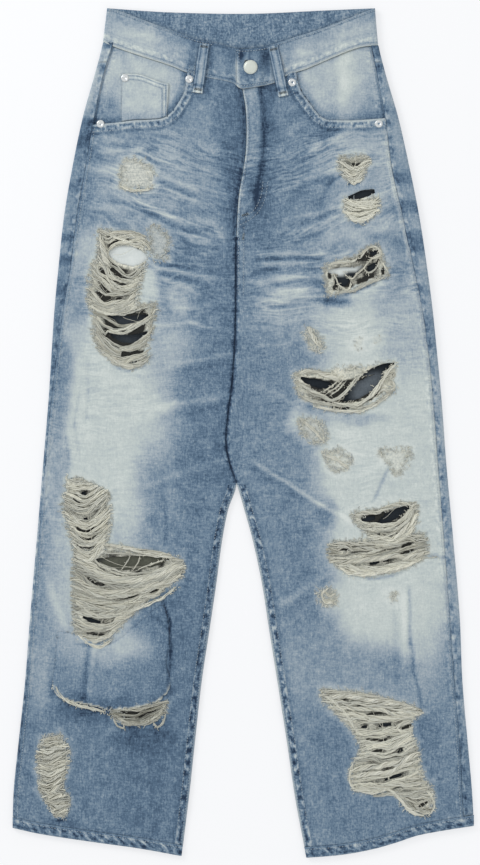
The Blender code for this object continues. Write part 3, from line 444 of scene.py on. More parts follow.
# pitch is the distance between cords of thread, 0 for none; dark is how far they stand apart and how dark
# the painted shade between them is, tone the lightness of the threads; bare is how much of the blue is gone
Rip = namedtuple("Rip", "side name pitch dark fringe tone bare rungs")
RIPS = [rip._replace(rungs=rows(Rung, *rip.rungs)) for rip in sided(
    Rip,
    right=[
        ("hip_block", 0, 0.0, 1.2, 0.88, 0.72, [
            (-142, 330, -132, 331, 0), (-147, 320, -119, 323, 1), (-148, 311, -108, 314, 2),
            (-148, 294, -109, 295, 1)]),
        ("hip_small", 0, 0.14, 1.2, 0.56, 0.48, [
            (-112, 248, -102, 250, 0), (-113, 234, -90, 236, 1), (-112, 220, -90, 220, 1),
            (-105, 210, -90, 209, 1)]),
        ("thigh_upper", 4.8, 0.5, 1.8, 0.72, 1.0, [
            (-172, 245, -123, 234, 0), (-173, 228, -115, 223, 2), (-175, 212, -120, 196, 14),
            (-180, 202, -124, 187, 17), (-184, 184, -125, 176, 17), (-186, 164, -127, 160, 14),
            (-185, 152, -128, 152, 10)]),
        ("thigh_lower", 5.2, 0.95, 1.8, 0.62, 1.0, [
            (-181, 152, -106, 156, 6), (-180, 142, -106, 149, 16), (-180, 126, -108, 136, 21),
            (-179, 114, -112, 118, 19), (-172, 100, -116, 100, 12), (-158, 88, -121, 83, 6)]),
        ("knee_column", 4.2, 0.34, 2.2, 0.7, 1.0, [
            (-209, -56, -198, -54, 0), (-210, -64, -178, -63, 2), (-213, -74, -165, -70, 8),
            (-215, -86, -163, -80, 13), (-213, -100, -160, -93, 15), (-209, -116, -160, -108, 15),
            (-205, -132, -163, -124, 14), (-203, -146, -166, -138, 12)]),
        ("knee_wide", 4.6, 0.36, 2.0, 0.62, 1.0, [
            (-162, -135, -76, -152, 0), (-198, -146, -73, -158, 12), (-203, -162, -73, -164, 17),
            (-204, -178, -77, -172, 17), (-204, -194, -92, -184, 14), (-204, -211, -112, -198, 13),
            (-202, -229, -134, -217, 9), (-199, -250, -156, -240, 6)]),
        ("below_patch", 4.0, 1.1, 1.2, 0.34, 1.0, [
            (-158, -331, -94, -321, 2), (-158, -337, -93, -325, 5), (-154, -342, -93, -331, 7),
            (-146, -347, -100, -340, 6)]),
        ("shin_column", 5.6, 0.2, 2.6, 0.7, 1.0, [
            (-241, -366, -220, -362, 0), (-245, -383, -212, -378, 2), (-246, -397, -212, -392, 4),
            (-244, -412, -214, -407, 4), (-243, -427, -218, -424, 4), (-238, -438, -212, -435, 2),
            (-230, -450, -210, -446, 2), (-226, -459, -213, -457, 1)])],
    left=[
        ("pocket_foot", 4.4, 0.35, 1.8, 0.76, 1.0, [
            (116, 332, 146, 333, 3), (115, 325, 150, 327, 6), (116, 317, 148, 320, 8),
            (119, 309, 146, 314, 7), (127, 303, 143, 307, 4)]),
        ("wedge", 5.4, 0.3, 1.8, 0.95, 1.0, [
            (123, 282, 158, 284, 1), (121, 277, 161, 279, 1), (121, 270, 161, 272, 2),
            (124, 263, 158, 264, 4), (130, 258, 152, 259, 5)]),
        ("thigh_slant", 0, 0.42, 1.4, 0.46, 1.0, [
            (138, 214, 162, 226, -4), (98, 199, 169, 212, 4), (98, 186, 172, 200, 2), (99, 174, 174, 192, 1),
            (101, 163, 175, 189, 0)]),
        ("thigh_gape", 0, 0.6, 1.0, 0.74, 1.0, [
            (61, 72, 182, 86, 14), (61, 64, 183, 80, 20), (63, 54, 182, 72, 24), (68, 46, 181, 62, 25),
            (75, 39, 178, 53, 20)]),
        ("fray_inner", 0, 0.0, 2.0, 0.97, 0.62, [
            (74, 122, 86, 124, 0), (75, 114, 92, 116, 1), (80, 104, 96, 107, 1), (87, 98, 95, 100, 0)]),
        ("worn_spot", 0, 0.0, 0.2, 0.6, 0.3, [(134, 114, 144, 114, 0), (135, 100, 143, 100, 0)]),
        ("worn_spot_side", 0, 0.0, 0.2, 0.6, 0.26, [(155, 114, 167, 115, 0), (156, 107, 166, 108, 0)]),
        ("knee_fray", 0, 0.0, 2.6, 0.97, 0.6, [
            (66, 16, 82, 18, 0), (68, 6, 95, 10, 1), (74, -4, 99, -1, 2), (83, -12, 100, -10, 1)]),
        ("knee_fray_low", 0, 0.0, 2.4, 0.95, 0.5, [
            (95, -24, 114, -20, 0), (98, -31, 130, -29, 1),
            (102, -38, 128, -36, 2), (109, -46, 123, -44, 1)]),
        ("knee_fray_side", 0, 0.0, 1.8, 0.85, 0.5, [
            (163, -19, 201, -17, 1), (164, -26, 201, -24, 2), (170, -34, 199, -31, 3),
            (177, -40, 194, -38, 2), (181, -50, 190, -49, 1)]),
        ("knee_upper", 4.6, 0.46, 2.0, 0.74, 1.0, [
            (131, -95, 203, -84, 2), (133, -105, 207, -86, 12), (145, -116, 208, -93, 14),
            (151, -126, 207, -102, 14), (159, -135, 206, -113, 9)]),
        ("knee_lower", 4.6, 0.3, 2.0, 0.7, 1.0, [
            (105, -132, 212, -120, 3), (103, -140, 219, -129, 6), (104, -149, 220, -139, 6),
            (111, -157, 218, -148, 6), (125, -163, 204, -156, 4), (137, -168, 190, -163, 3)]),
        ("shin_fray", 0, 0.0, 1.8, 0.85, 0.5, [
            (90, -188, 105, -186, 0), (90, -196, 111, -193, 1), (94, -203, 112, -201, 1),
            (100, -208, 110, -206, 0)]),
        ("shin_speck", 0, 0.0, 1.4, 0.9, 0.5, [(176, -192, 184, -192, 0), (177, -202, 185, -202, 0)]),
        ("shin_ladder", 5.0, 0.3, 2.2, 0.78, 1.0, [
            (94, -308, 210, -331, -6), (97, -319, 213, -335, 0), (111, -335, 208, -338, 5),
            (127, -352, 204, -344, 5), (138, -368, 201, -358, 4), (140, -381, 205, -368, 4),
            (133, -397, 208, -380, 5), (129, -412, 211, -394, 4), (132, -424, 214, -410, 4),
            (140, -430, 224, -424, 2), (181, -433, 228, -438, 2), (198, -449, 225, -455, 3)])])]
# Thick rolls of fringed cloth and thread along a rip's lips, and streaks of lint
Roll = namedtuple("Roll", "side width tone points")
ROLLS = sided(
    Roll,
    left=[
        (4.6, 0.7, [(62, 71), (84, 74), (104, 68), (118, 60)]), (1.3, 0.8, [(93, 48), (106, 56), (118, 68)]),
        (1.5, 0.84, [(97, 45), (110, 54), (121, 65)]), (1.3, 0.8, [(101, 43), (114, 52), (124, 64)]),
        (3.4, 0.8, [(61, 64), (76, 54), (92, 46), (108, 40), (124, 50), (136, 64), (146, 73)]),
        (4.2, 0.84, [(106, 38), (124, 34), (141, 37), (155, 47), (165, 60), (174, 74), (184, 84)]),
        (3.6, 0.66, [(62, 52), (72, 43), (90, 37), (118, 33), (148, 31), (165, 40), (182, 53)]),
        (2.8, 0.56, [(70, 60), (80, 50), (96, 42), (112, 37)]),
        (2.8, 0.76, [(170, 60), (178, 62), (182, 56), (176, 50), (168, 52), (160, 44)]),
        (2.8, 0.7, [(167, 62), (174, 68), (182, 72)]),
        (3.0, 0.84, [(84, 32), (110, 28), (140, 26), (158, 34), (176, 47)]),
        (3.4, 1.0, [(66, 19), (74, 12), (84, 4), (97, -11)]), (3.0, 1.0, [(94, -24), (108, -30), (127, -42)]),
        (4.6, 1.0, [(78, 127), (83, 116), (94, 103)]),
        (2.4, 0.86, [(97, 200), (112, 204), (130, 206), (140, 212)]),
        (2.0, 0.84, [(121, 192), (130, 185), (138, 192), (146, 200), (155, 211)]),
        (2.0, 0.82, [(130, 185), (128, 176), (124, 171), (118, 174), (112, 182), (108, 192)]),
        (1.8, 0.78, [(106, 172), (115, 172), (112, 167), (106, 168)]),
        (1.8, 0.78, [(145, 199), (150, 192), (159, 197), (164, 206), (166, 212)]),
        (2.4, 0.84, [(138, 207), (145, 217), (152, 223), (162, 221), (165, 214), (158, 210), (150, 211)]),
        (2.2, 0.8, [(164, 210), (169, 202), (173, 192)]),
        (2.6, 0.6, [(110, 167), (128, 170), (150, 179), (174, 190)]),
        (3.2, 0.92, [(122, 277), (132, 274), (142, 276), (152, 275), (161, 280)]),
        (3.4, 0.92, [(124, 262), (134, 255), (146, 256), (158, 263)]),
        (3.0, 0.92, [(116, 326), (128, 317), (137, 315), (149, 323)]),
        (3.6, 0.88, [(145, -112), (160, -117), (180, -112), (196, -98), (206, -86)]),
        (3.4, 0.84, [(150, -122), (172, -124), (190, -112), (206, -96)]),
        (3.0, 0.86, [(160, -134), (180, -132), (196, -122), (208, -108)]),
        (4.0, 0.86, [(112, -158), (128, -168), (144, -170), (166, -166), (190, -161), (216, -150)]),
        (3.0, 0.9, [(104, -150), (126, -150), (150, -144), (176, -138)]),
        (1.0, 0.7, [(205, -147), (220, -150), (238, -148)]),
        (3.4, 0.92, [(94, -312), (110, -323), (122, -336), (132, -350), (138, -364)]),
        (2.6, 0.9, [(131, -396), (128, -410), (130, -422), (138, -430)]),
        (3.6, 0.92, [(136, -429), (156, -432), (174, -428), (188, -440), (204, -456), (220, -459)]),
        (2.4, 0.95, [(222, -459), (229, -448), (226, -436), (218, -428)]),
        (2.6, 0.95, [(102, -186), (94, -194), (100, -203), (110, -200)]),
        (3.2, 0.9, [(98, -189), (104, -195), (111, -192)]),
        (2.6, 0.8, [(95, -199), (104, -201), (109, -206)])],
    right=[
        (2.6, 0.66, [(-159, -335), (-142, -346), (-122, -348), (-103, -338), (-91, -323)]),
        (2.0, 0.6, [(-157, -341), (-150, -352), (-143, -354), (-146, -344)]),
        (2.0, 0.6, [(-110, -345), (-104, -353), (-96, -348), (-93, -336)]),
        (3.2, 0.95, [(-227, -302), (-219, -315), (-200, -327), (-180, -331), (-165, -335)]),
        (4.2, 0.66, [(-160, 92), (-150, 85), (-138, 81), (-122, 84), (-112, 92)]),
        (3.4, 0.58, [(-184, 158), (-170, 150), (-152, 146), (-130, 152)]),
        (3.0, 0.84, [(-172, 244), (-156, 236), (-140, 230), (-124, 226), (-116, 222)]),
        (6.0, 0.7, [(-170, 238), (-169, 224), (-166, 210), (-158, 198)]),
        (4.0, 0.62, [(-202, -150), (-186, -166), (-160, -176), (-130, -174), (-100, -166), (-76, -158)]),
        (3.8, 0.7, [(-190, -178), (-164, -190), (-136, -188), (-104, -176), (-76, -166)]),
        (1.3, 0.66, [(-150, -167), (-144, -160), (-138, -152), (-136, -144)]),
        (1.3, 0.66, [(-134, -166), (-129, -160), (-125, -152), (-124, -144)]),
        (1.5, 0.7, [(-129, -165), (-113, -158), (-100, -154), (-92, -151)]),
        (3.2, 0.74, [(-204, -200), (-186, -214), (-168, -220), (-148, -214)]),
        (3.4, 0.9, [(-148, -222), (-130, -212), (-110, -204), (-94, -196), (-80, -184)]),
        (3.6, 0.86, [(-200, -242), (-186, -252), (-172, -256), (-158, -248)]),
        (3.4, 0.9, [(-164, -134), (-140, -138), (-112, -146), (-80, -150)]),
        (2.6, 0.9, [(-213, -52), (-208, -62), (-200, -68), (-190, -66)]),
        (3.0, 0.92, [(-148, 296), (-130, 291), (-109, 293)])])
RIP_SINK = 0.9          # how far the bare threads lie below the panel's face
MOUTH_BAND = 11.0       # width of the turned, stitched band along a pocket mouth
FELL = 10.0             # width of a felled seam
LAP = 0.7               # how far the front laps over the back's strip at the side seam
TUCK = 0.8              # how far the front runs under the waistband and the hem


# ---------------------------------------------------------------- reading the tables


def hermite(a, b, slope_a, slope_b, span, t):
    t2, t3 = t * t, t * t * t
    return (
        a * (2 * t3 - 3 * t2 + 1)
        + slope_a * span * (t3 - 2 * t2 + t)
        + b * (3 * t2 - 2 * t3)
        + slope_b * span * (t3 - t2)
    )


def smooth_line(keys, values, at):
    """Smooth values through (key, value) pairs, at every `at`."""
    at = np.clip(np.asarray(at, float), keys[0], keys[-1])
    last = len(keys) - 1
    i = np.clip(np.searchsorted(keys, at, side="right") - 1, 0, last - 1)
    before = np.maximum(np.arange(last + 1) - 1, 0)
    after = np.minimum(np.arange(last + 1) + 1, last)
    slopes = (values[after] - values[before]) / (keys[after] - keys[before])
    span = keys[i + 1] - keys[i]
    return hermite(values[i], values[i + 1], slopes[i], slopes[i + 1], span, (at - keys[i]) / span)


def read(rows, key, column, at):
    ordered = sorted(rows, key=lambda row: getattr(row, key))
    keys = np.array([getattr(row, key) for row in ordered], float)
    values = np.array([getattr(row, column) for row in ordered], float)
    return smooth_line(keys, values, at)


def mix(a, b, share):
    return a + (b - a) * share


def eased(low, high, at):
    """0 below low, 1 above high, smooth between."""
    share = np.clip((np.asarray(at, float) - low) / (high - low), 0, 1)
    return share * share * (3 - 2 * share)


def noise(x, y, size, seed):
    """Smooth noise from -1 to 1, with features about `size` millimetres across."""
    cells = 97
    lattice = np.random.default_rng(seed).uniform(-1, 1, (cells, cells))
    u, v = np.asarray(x, float) / size, np.asarray(y, float) / size
    i, j = np.floor(u).astype(int), np.floor(v).astype(int)
    fu, fv = u - i, v - j
    fu, fv = fu * fu * (3 - 2 * fu), fv * fv * (3 - 2 * fv)
    a, b = lattice[i % cells, j % cells], lattice[(i + 1) % cells, j % cells]
    c, d = lattice[i % cells, (j + 1) % cells], lattice[(i + 1) % cells, (j + 1) % cells]
    return mix(mix(a, b, fu), mix(c, d, fu), fv)


def sign(side):
    return 1 if side == "left" else -1


def side_edge(side, y):
    return read(SIDES, "y", side, y)


def outseam(side, y):
    return side_edge(side, y) - sign(side) * read(SIDES, "y", side + "_lip", y)


def inner_edge(side, y):
    return read(MIDDLES, "y", side, y) + sign(side) * SEAM / 2


def hem_foot(side, x):
    return read(LEFT_HEM if side == "left" else RIGHT_HEM, "x", "y", x)


def row_height(top, foot, row, rows):
    above, below = rows
    upper = mix(top, CROTCH, np.minimum(row, above) / above)
    lower = mix(CROTCH, foot, np.maximum(row - above, 0) / below)
    return np.where(row <= above, upper, lower)


def back_foot(x):
    side = eased(-168.4, 162, x)
    return read(BACK_TOP, "x", "y", x) - mix(510 - 469.2, 510 - 465.6, side)


# ---------------------------------------------------------------- distances


def line_distance(points, x, y):
    """Distance from every (x, y) to a polyline, and how far along it the nearest point is."""
    best = np.full(np.shape(x), 1e9)
    along = np.zeros(np.shape(x))
    run = 0.0
    for (ax, ay), (bx, by) in zip(points, points[1:]):
        dx, dy = bx - ax, by - ay
        length = math.hypot(dx, dy)
        t = np.clip(((x - ax) * dx + (y - ay) * dy) / (length * length), 0, 1)
        d = np.hypot(x - ax - t * dx, y - ay - t * dy)
        along = np.where(d < best, run + t * length, along)
        best = np.minimum(best, d)
        run += length
    return best, along


def inside_distance(outline, x, y):
    """Distance to a closed outline, positive inside it."""
    best, _along = line_distance(outline + outline[:1], x, y)
    inside = np.zeros(np.shape(x), bool)
    for (ax, ay), (bx, by) in zip(outline, outline[1:] + outline[:1]):
        if ay == by:
            continue
        crosses = (ay > y) != (by > y)
        inside ^= crosses & (x < ax + (y - ay) * (bx - ax) / (by - ay))
    return np.where(inside, best, -best)


def smooth_path(rows, spacing=3.0):
    """A finer smooth run through a list of points."""
    xs = np.array([row[0] for row in rows], float)
    ys = np.array([row[1] for row in rows], float)
    steps = np.hypot(np.diff(xs), np.diff(ys))
    keys = np.concatenate([[0], np.cumsum(steps)])
    at = np.linspace(0, keys[-1], max(2, int(keys[-1] / spacing)))
    return list(zip(smooth_line(keys, xs, at), smooth_line(keys, ys, at)))


def bell(away, width, past=0.0, reach=1.0):
    """1 in the middle of a line, fading across it and past its ends."""
    return np.exp(-((away / width) ** 2) - (past / reach) ** 2)


def on(side, table):
    return [row for row in table if row.side == side]


def turned(x, y, degrees):
    """An offset seen from axes turned by an angle."""
    cosine, sine = math.cos(math.radians(degrees)), math.sin(math.radians(degrees))
    return x * cosine + y * sine, -x * sine + y * cosine


def band_foot(x):
    return read(BAND_FOOT, "x", "y", x)


def hole_place(hole, x, y):
    """A point's share along a hole, its offset from the sagging middle line, and the half height."""
    along, across = turned(x - hole.x, y - hole.y, hole.tilt)
    along = along / (hole.width / 2)
    crown = np.clip(1 - along * along, 0, 1)
    return along, across + hole.sag * crown, hole.height / 2 * crown ** 0.75


def hole_distance(holes, side, x, y):
    """Distance outside the nearest hole, negative inside it."""
    best = np.full(np.shape(x), 1e3)
    for hole in on(side, holes):
        along, across, half = hole_place(hole, x, y)
        past = np.maximum(np.abs(along) - 1, 0) * hole.width / 2
        best = np.minimum(best, np.hypot(np.maximum(np.abs(across) - half, 0), past)
                          + np.where(past == 0, np.minimum(np.abs(across) - half, 0), 0))
    return best


MOUTHS = {"right": smooth_path(RIGHT_MOUTH), "left": smooth_path(LEFT_MOUTH)}


def mouth_distance(side, x, y):
    """Distance from the pocket mouth, positive on the panel, negative in the opening."""
    edge = MOUTHS[side]
    d, _along = line_distance(edge, x, y)
    outline = edge + [(sign(side) * 200, 520), (edge[0][0], 520)]
    return np.where(inside_distance(outline, x, y) > 0, -d, d)


# ---------------------------------------------------------------- the rips' ladders


def rung_values(rip, t):
    """Both ends and the sag of the thread at share t of the way down a rip."""
    keys = np.linspace(0, 1, len(rip.rungs))
    return [smooth_line(keys, np.array(values, float), t) for values in zip(*rip.rungs)]


def hang(share):
    """How far a thread's sag has come at a share across it: nearly a V, blunt at its foot."""
    return 1 - np.minimum(np.abs(2 * share - 1), 1) ** 1.5


def thread_place(rip, t, share):
    """A point of a thread: t down the rip, share across it."""
    left_x, left_y, right_x, right_y, sag = rung_values(rip, t)
    return mix(left_x, right_x, share), mix(left_y, right_y, share) - sag * hang(share)


def rip_outline(rip):
    """The closed edge of the worn area."""
    down = np.linspace(0, 1, 4 * len(rip.rungs))
    across = np.linspace(0, 1, 9)[1:-1]
    left = list(zip(*thread_place(rip, down, np.zeros_like(down))))
    right = list(zip(*thread_place(rip, down[::-1], np.ones_like(down))))
    foot = list(zip(*thread_place(rip, np.ones_like(across), across)))
    first = rip._replace(rungs=[rip.rungs[0]._replace(sag=min(rip.rungs[0].sag, 1.0))] + rip.rungs[1:])
    top = list(zip(*thread_place(first, np.zeros_like(across), across[::-1])))
    return [(float(a), float(b)) for a, b in left + foot + right + top]


OUTLINES = {rip.name: rip_outline(rip) for rip in RIPS}


Worn = namedtuple("Worn", "bare depth strand halo")


def worn(side, x, y):
    """For points of a front panel: how bare of blue, how deep in shade, which thread, how near a rip."""
    x, y = np.asarray(x, float), np.asarray(y, float)
    bare, depth, halo = np.zeros(x.shape), np.zeros(x.shape), np.zeros(x.shape)
    strand = np.array(y)
    for number, rip in enumerate(RIPS):
        if rip.side != side:
            continue
        outline = OUTLINES[rip.name]
        (low_x, low_y), (high_x, high_y) = np.min(outline, axis=0) - 14, np.max(outline, axis=0) + 14
        near = (x > low_x) & (x < high_x) & (y > low_y) & (y < high_y)
        px, py = x[near], y[near]
        ragged = 2.4 * noise(px, py, 8.0, number) + 1.5 * noise(px, py, 3.2, number + 50)
        d = inside_distance(outline, px, py) + ragged - 0.6
        t, share = thread_share(rip, px, py)
        middle = eased(0.04, 0.24, share) * eased(0.96, 0.76, share) * eased(1.0, 0.9, t) * eased(0, 0.06, t)
        uneven = 0.95 + 0.5 * noise(px, py, 7.0, number + 90)
        shaded = min(1.6 * rip.dark, 1.0) * middle * uneven * eased(0, 3, d)
        bare[near] = np.maximum(bare[near], eased(-1.3, 1.1, d) * rip.bare)
        depth[near] = np.maximum(depth[near], shaded)
        halo[near] = np.maximum(halo[near], eased(-11, -1, d))
        strand[near] = np.where(d > -2, rip.rungs[0].left_y - t * tallness(rip), strand[near])
    # Painted shade is kept off the wide hole that shows the white pocket bag, and painted dark into the slits
    depth = depth * eased(0.5, 6, hole_distance(HOLES[:1], side, x, y))
    slit = hole_distance(SLITS, side, x, y)
    depth = np.maximum(depth, eased(0.9, -0.7, slit + 0.4 * noise(x, y, 2.0, 77)))
    return Worn(bare, np.clip(depth, 0, 1) * bare, strand, halo * (1 - bare))


def tallness(rip):
    top, foot = rip.rungs[0], rip.rungs[-1]
    return max(abs(top.left_y - foot.left_y), abs(top.right_y - foot.right_y))


def thread_share(rip, x, y):
    """The thread that passes through each point, as a share down the rip, and the share across."""
    low, high = np.zeros(x.shape), np.ones(x.shape)
    for _ in range(11):
        t = (low + high) / 2
        left_x, left_y, right_x, right_y, sag = rung_values(rip, t)
        share = np.clip((x - left_x) / (right_x - left_x), 0, 1)
        lower = y < mix(left_y, right_y, share) - sag * hang(share)
        low, high = np.where(lower, t, low), np.where(lower, high, t)
    return t, share


# ---------------------------------------------------------------- heights


def top_level(y):
    hips = mix(LEG_TOP, HIP_TOP, eased(20, 130, y))
    return mix(hips, HEM_TOP, eased(-430, -470, y))


def back_level(y):
    return HIP_LIFT * eased(185, 226, y)


def fold_place(fold, x, y):
    """Offset across a fold's line, and how far past its ends."""
    dx, dy = fold.x1 - fold.x0, fold.y1 - fold.y0
    length = math.hypot(dx, dy)
    along = ((x - fold.x0) * dx + (y - fold.y0) * dy) / length
    across = ((x - fold.x0) * dy - (y - fold.y0) * dx) / length
    return across, np.maximum(np.maximum(-along, along - length), 0)


def ridges(lines, strength, ends, x, y):
    """The sum of soft lines; `strength` names the column that says how high or light each is."""
    total = np.zeros(np.shape(x))
    for line in lines:
        across, past = fold_place(line, x, y)
        total += getattr(line, strength) * bell(across, line.width, past, ends * line.width)
    return total


def front_level(side, x, y):
    """Height of the front's upper face, as its solid has it."""
    inward = np.abs(x - outseam(side, y))
    from_inner = np.abs(x - inner_edge(side, y))
    dip = 0.7 * eased(8, 60, inward) * eased(120, 20, y) * eased(-460, -420, y)
    rounded = eased(INNER_TURN, 0, from_inner) * eased(-40, -84, y) * (top_level(y) - dip - INNER_TOP)
    folds = ridges(on(side, FOLDS), "height", 2, x, y) * eased(0, 22, inward) * eased(-464, -430, y)
    folds = np.where(y < CROTCH, folds * eased(0, 16, from_inner), folds)
    return top_level(y) - dip - rounded + folds


def foot_shadows():
    """A painted shadow line under the foot of every rip that has a rolled edge."""
    shadows = []
    for rip in RIPS:
        if rip.bare > 0.8:
            x, y = thread_place(rip, np.ones(5), np.linspace(0.02, 0.98, 5))
            points = list(zip(x, y - 4.2))
            shadows += [Crease(rip.side, *a, *b, 1.9, -17) for a, b in zip(points, points[1:])]
    return shadows


SHADOWS = foot_shadows()


def crease_shade(side, x, y):
    """The creases' light and dark, on a line that wanders a little."""
    wx = x + 2.2 * noise(x, y, 26, 5)
    wy = y + 2.2 * noise(x, y, 22, 6)
    return ridges(on(side, CREASES + SHADOWS), "shade", 3, wx, wy) * CREASE_STRENGTH


def seam_places(side, x, y):
    """Distances from the inner leg seam or the middle, and from the outseam."""
    return np.abs(x - inner_edge(side, y)), np.abs(x - outseam(side, y))


def pucker(along, size, seed):
    """Uneven puckers along a seam, from -1 to 1."""
    return np.clip(1.8 * noise(along, np.zeros(np.shape(along)) + 0.5, size, seed), -1, 1)


def front_surface(side, x, y, bare=True):
    """Height of the front's finished face: the solid's, with creases, seams and worn places."""
    x, y = np.asarray(x, float), np.asarray(y, float)
    z = front_level(side, x, y) + 0.018 * crease_shade(side, x, y)
    z += 0.28 * noise(x, y, 34, 11) + 0.16 * noise(x, y, 13, 12) + 0.07 * noise(x, y, 5.5, 13)
    inner, outer = seam_places(side, x, y)
    legs = eased(CROTCH + 10, CROTCH - 10, y)
    fell = eased(FELL + 2, FELL - 1, inner) * mix(eased(300, 250, y) if side == "left" else 0.0, 1.0, legs)
    z += fell * (0.35 + 0.28 * pucker(y, 6.5, 21))
    z += 0.3 * eased(5.5, 3.5, outer) * (1 + 0.5 * pucker(y, 7.0, 22))
    mouth = mouth_distance(side, x, y)
    z += eased(MOUTH_BAND + 1.5, MOUTH_BAND - 1, mouth) * (0.55 + 0.2 * pucker(x + y, 5.0, 23))
    z -= 0.25 * (bell(mouth - 2.2, 0.9) + bell(mouth - 8.8, 0.9))
    z -= 0.45 * eased(2.4, 0, band_foot(x) - y)
    z -= 0.7 * eased(HEM_DEPTH + 2.0, HEM_DEPTH - 0.4, y - hem_foot(side, x))
    if side == "left":
        z -= 1.1 * bell(x - 25.5 + 0.04 * (y - 360), 3.2) * eased(430, 415, y) * eased(290, 320, y)
        z -= fly_seam(x, y) * 0.25
    if bare:
        state = worn(side, x, y)
        z -= RIP_SINK * state.bare + 0.5 * state.depth
        z += 0.4 * bell(state.bare - 0.35, 0.25) * (state.bare > 0.01)
    return z


FLY_STITCH = smooth_path([(29, 300), (27, 285), (20, 268), (8, 256), (-3, 250)])


def fly_seam(x, y):
    d, _along = line_distance(FLY_STITCH, x, y)
    return bell(d, 1.2)


# ---------------------------------------------------------------- wash levels


def faded(side, x, y):
    """The panel's level of blue, from its worn and dark areas and its painted shadows."""
    level = np.full(np.shape(x), BASE_LEVEL[side])
    wx = x + 6 * noise(x, y, 30, 31) + 2.5 * noise(x, y, 9, 32)
    wy = y + 9 * noise(x, y, 34, 33) + 3 * noise(x, y, 9, 34)
    for fade in on(side, FADES):
        u, v = turned(wx - fade.x, wy - fade.y, fade.tilt)
        away = np.hypot(u / fade.width, v / fade.height)
        level = mix(level, fade.level, eased(1 + fade.soft, 1 - fade.soft, away))
    return level


def whisker_lines(side, x, y):
    """Fine fan of worn lines across the hips and thighs: the place across them, and their strength."""
    slope = -0.30 if side == "right" else 0.24
    slope = slope * eased(190, 270, y)
    rise = y - slope * x + 6 * noise(x, y, 42, 41) + 2 * noise(x, y, 15, 42)
    zone = 0.35 + 0.65 * eased(100, 170, y) * eased(376, 350, y)
    return rise, zone * (0.6 + 0.6 * noise(x, y, 30, 43)) * eased(-300, -60, y)


def whiskers(side, x, y):
    """The broader of the worn lines."""
    rise, fan = whisker_lines(side, x, y)
    return 10 * fan * (noise(x / 6, rise, 5.2, 44) + 0.7 * noise(x / 5, rise, 9.0, 45))


def front_wash(side, x, y):
    """The front's level of blue with creases, whiskers and the fly, and painted shade along the fly and middle, under
    the waistband and below the knee patch's foot.
    """
    level = faded(side, x, y) + crease_shade(side, x, y) + whiskers(side, x, y)
    inner, outer = seam_places(side, x, y)
    legs = eased(CROTCH + 10, CROTCH - 10, y)
    if side == "right":
        # painted shade along the middle, where the fly laps over
        level -= (1 - legs) * 10 * eased(16, 4, inner)
        shin = eased(36, 4, outer) * eased(130, 90, y) * eased(-270, -230, y)
        level -= 16 * eased(30, 5, outer) * eased(200, 260, y) + 12 * shin
    else:
        # the fly's raised strip: paler, with painted shadow in the trough beside it and at its curved foot
        strip = eased(436, 420, y) * eased(250, 275, y)
        level += strip * (26 * eased(19, 15, inner) - 40 * bell(inner - 20.6, 3.0)
                          - 18 * eased(37, 21, inner) * eased(19, 21, inner))
        level -= 44 * bell(x - 14 + 0.35 * (y - 285), 7, y - 286, 20)
        level -= 20 * bell(x - 32, 7, y - 362, 9)
        level += 30 * eased(5, 2.5, outer) * eased(170, 220, y) * eased(380, 350, y)
    level -= 8 * eased(22, 12, mouth_distance(side, x, y))
    level += 8 * legs * eased(13, 17, inner) * eased(40, 24, inner)
    # painted shade under the waistband's foot
    level -= 8 * eased(5, 1, band_foot(x) - y)
    # painted shadow below the knee patch's frayed foot
    if side == "right":
        foot, _along = line_distance(PATCH_FOOT, x, y)
        level -= 26 * eased(11, 2, foot) * eased(-296, -306, y)
    return level


PATCH_FOOT = smooth_path([(p.x, p.y) for p in PATCH_EDGE if p.y < -300])


def near(distance, where=1.0):
    """Nearness to a sewn edge, 0 where it is too far to leave a mark."""
    return np.clip(EDGE_REACH - distance, 0, EDGE_REACH) * np.where(where, 1.0, 0.0)


def sewn_place(side, x, y):
    """Nearness of a front panel to each of its sewn edges, and the place along the nearest."""
    mouth_away, mouth_along = line_distance(MOUTHS[side], x, y)
    inner, outer = seam_places(side, x, y)
    above = y > CROTCH
    fly = above & (y > 236)
    places = {"near_mouth": near(mouth_away), "near_outer": near(outer), "near_inner": near(inner, ~above),
              "near_centre": near(inner, above & ~fly), "along": np.where(mouth_away < 16, mouth_along, y)}
    # On the right front, nearness to the fly's edge places its painted shadow
    places["near_fly" if side == "left" else "near_under"] = near(inner, fly)
    return places


# ---------------------------------------------------------------- meshes


def finished(name):
    return bpy.data.materials[name]


def put_attribute(mesh, name, values):
    values = np.asarray(values, np.float32).ravel()
    layer = mesh.attributes.new(name, "FLOAT", "POINT")
    layer.data.foreach_set("value", values)


def grid_quads(rows, columns):
    index = np.arange(rows * columns).reshape(rows, columns)
    return np.stack([index[:-1, :-1], index[:-1, 1:], index[1:, 1:], index[1:, :-1]], -1).reshape(-1, 4)


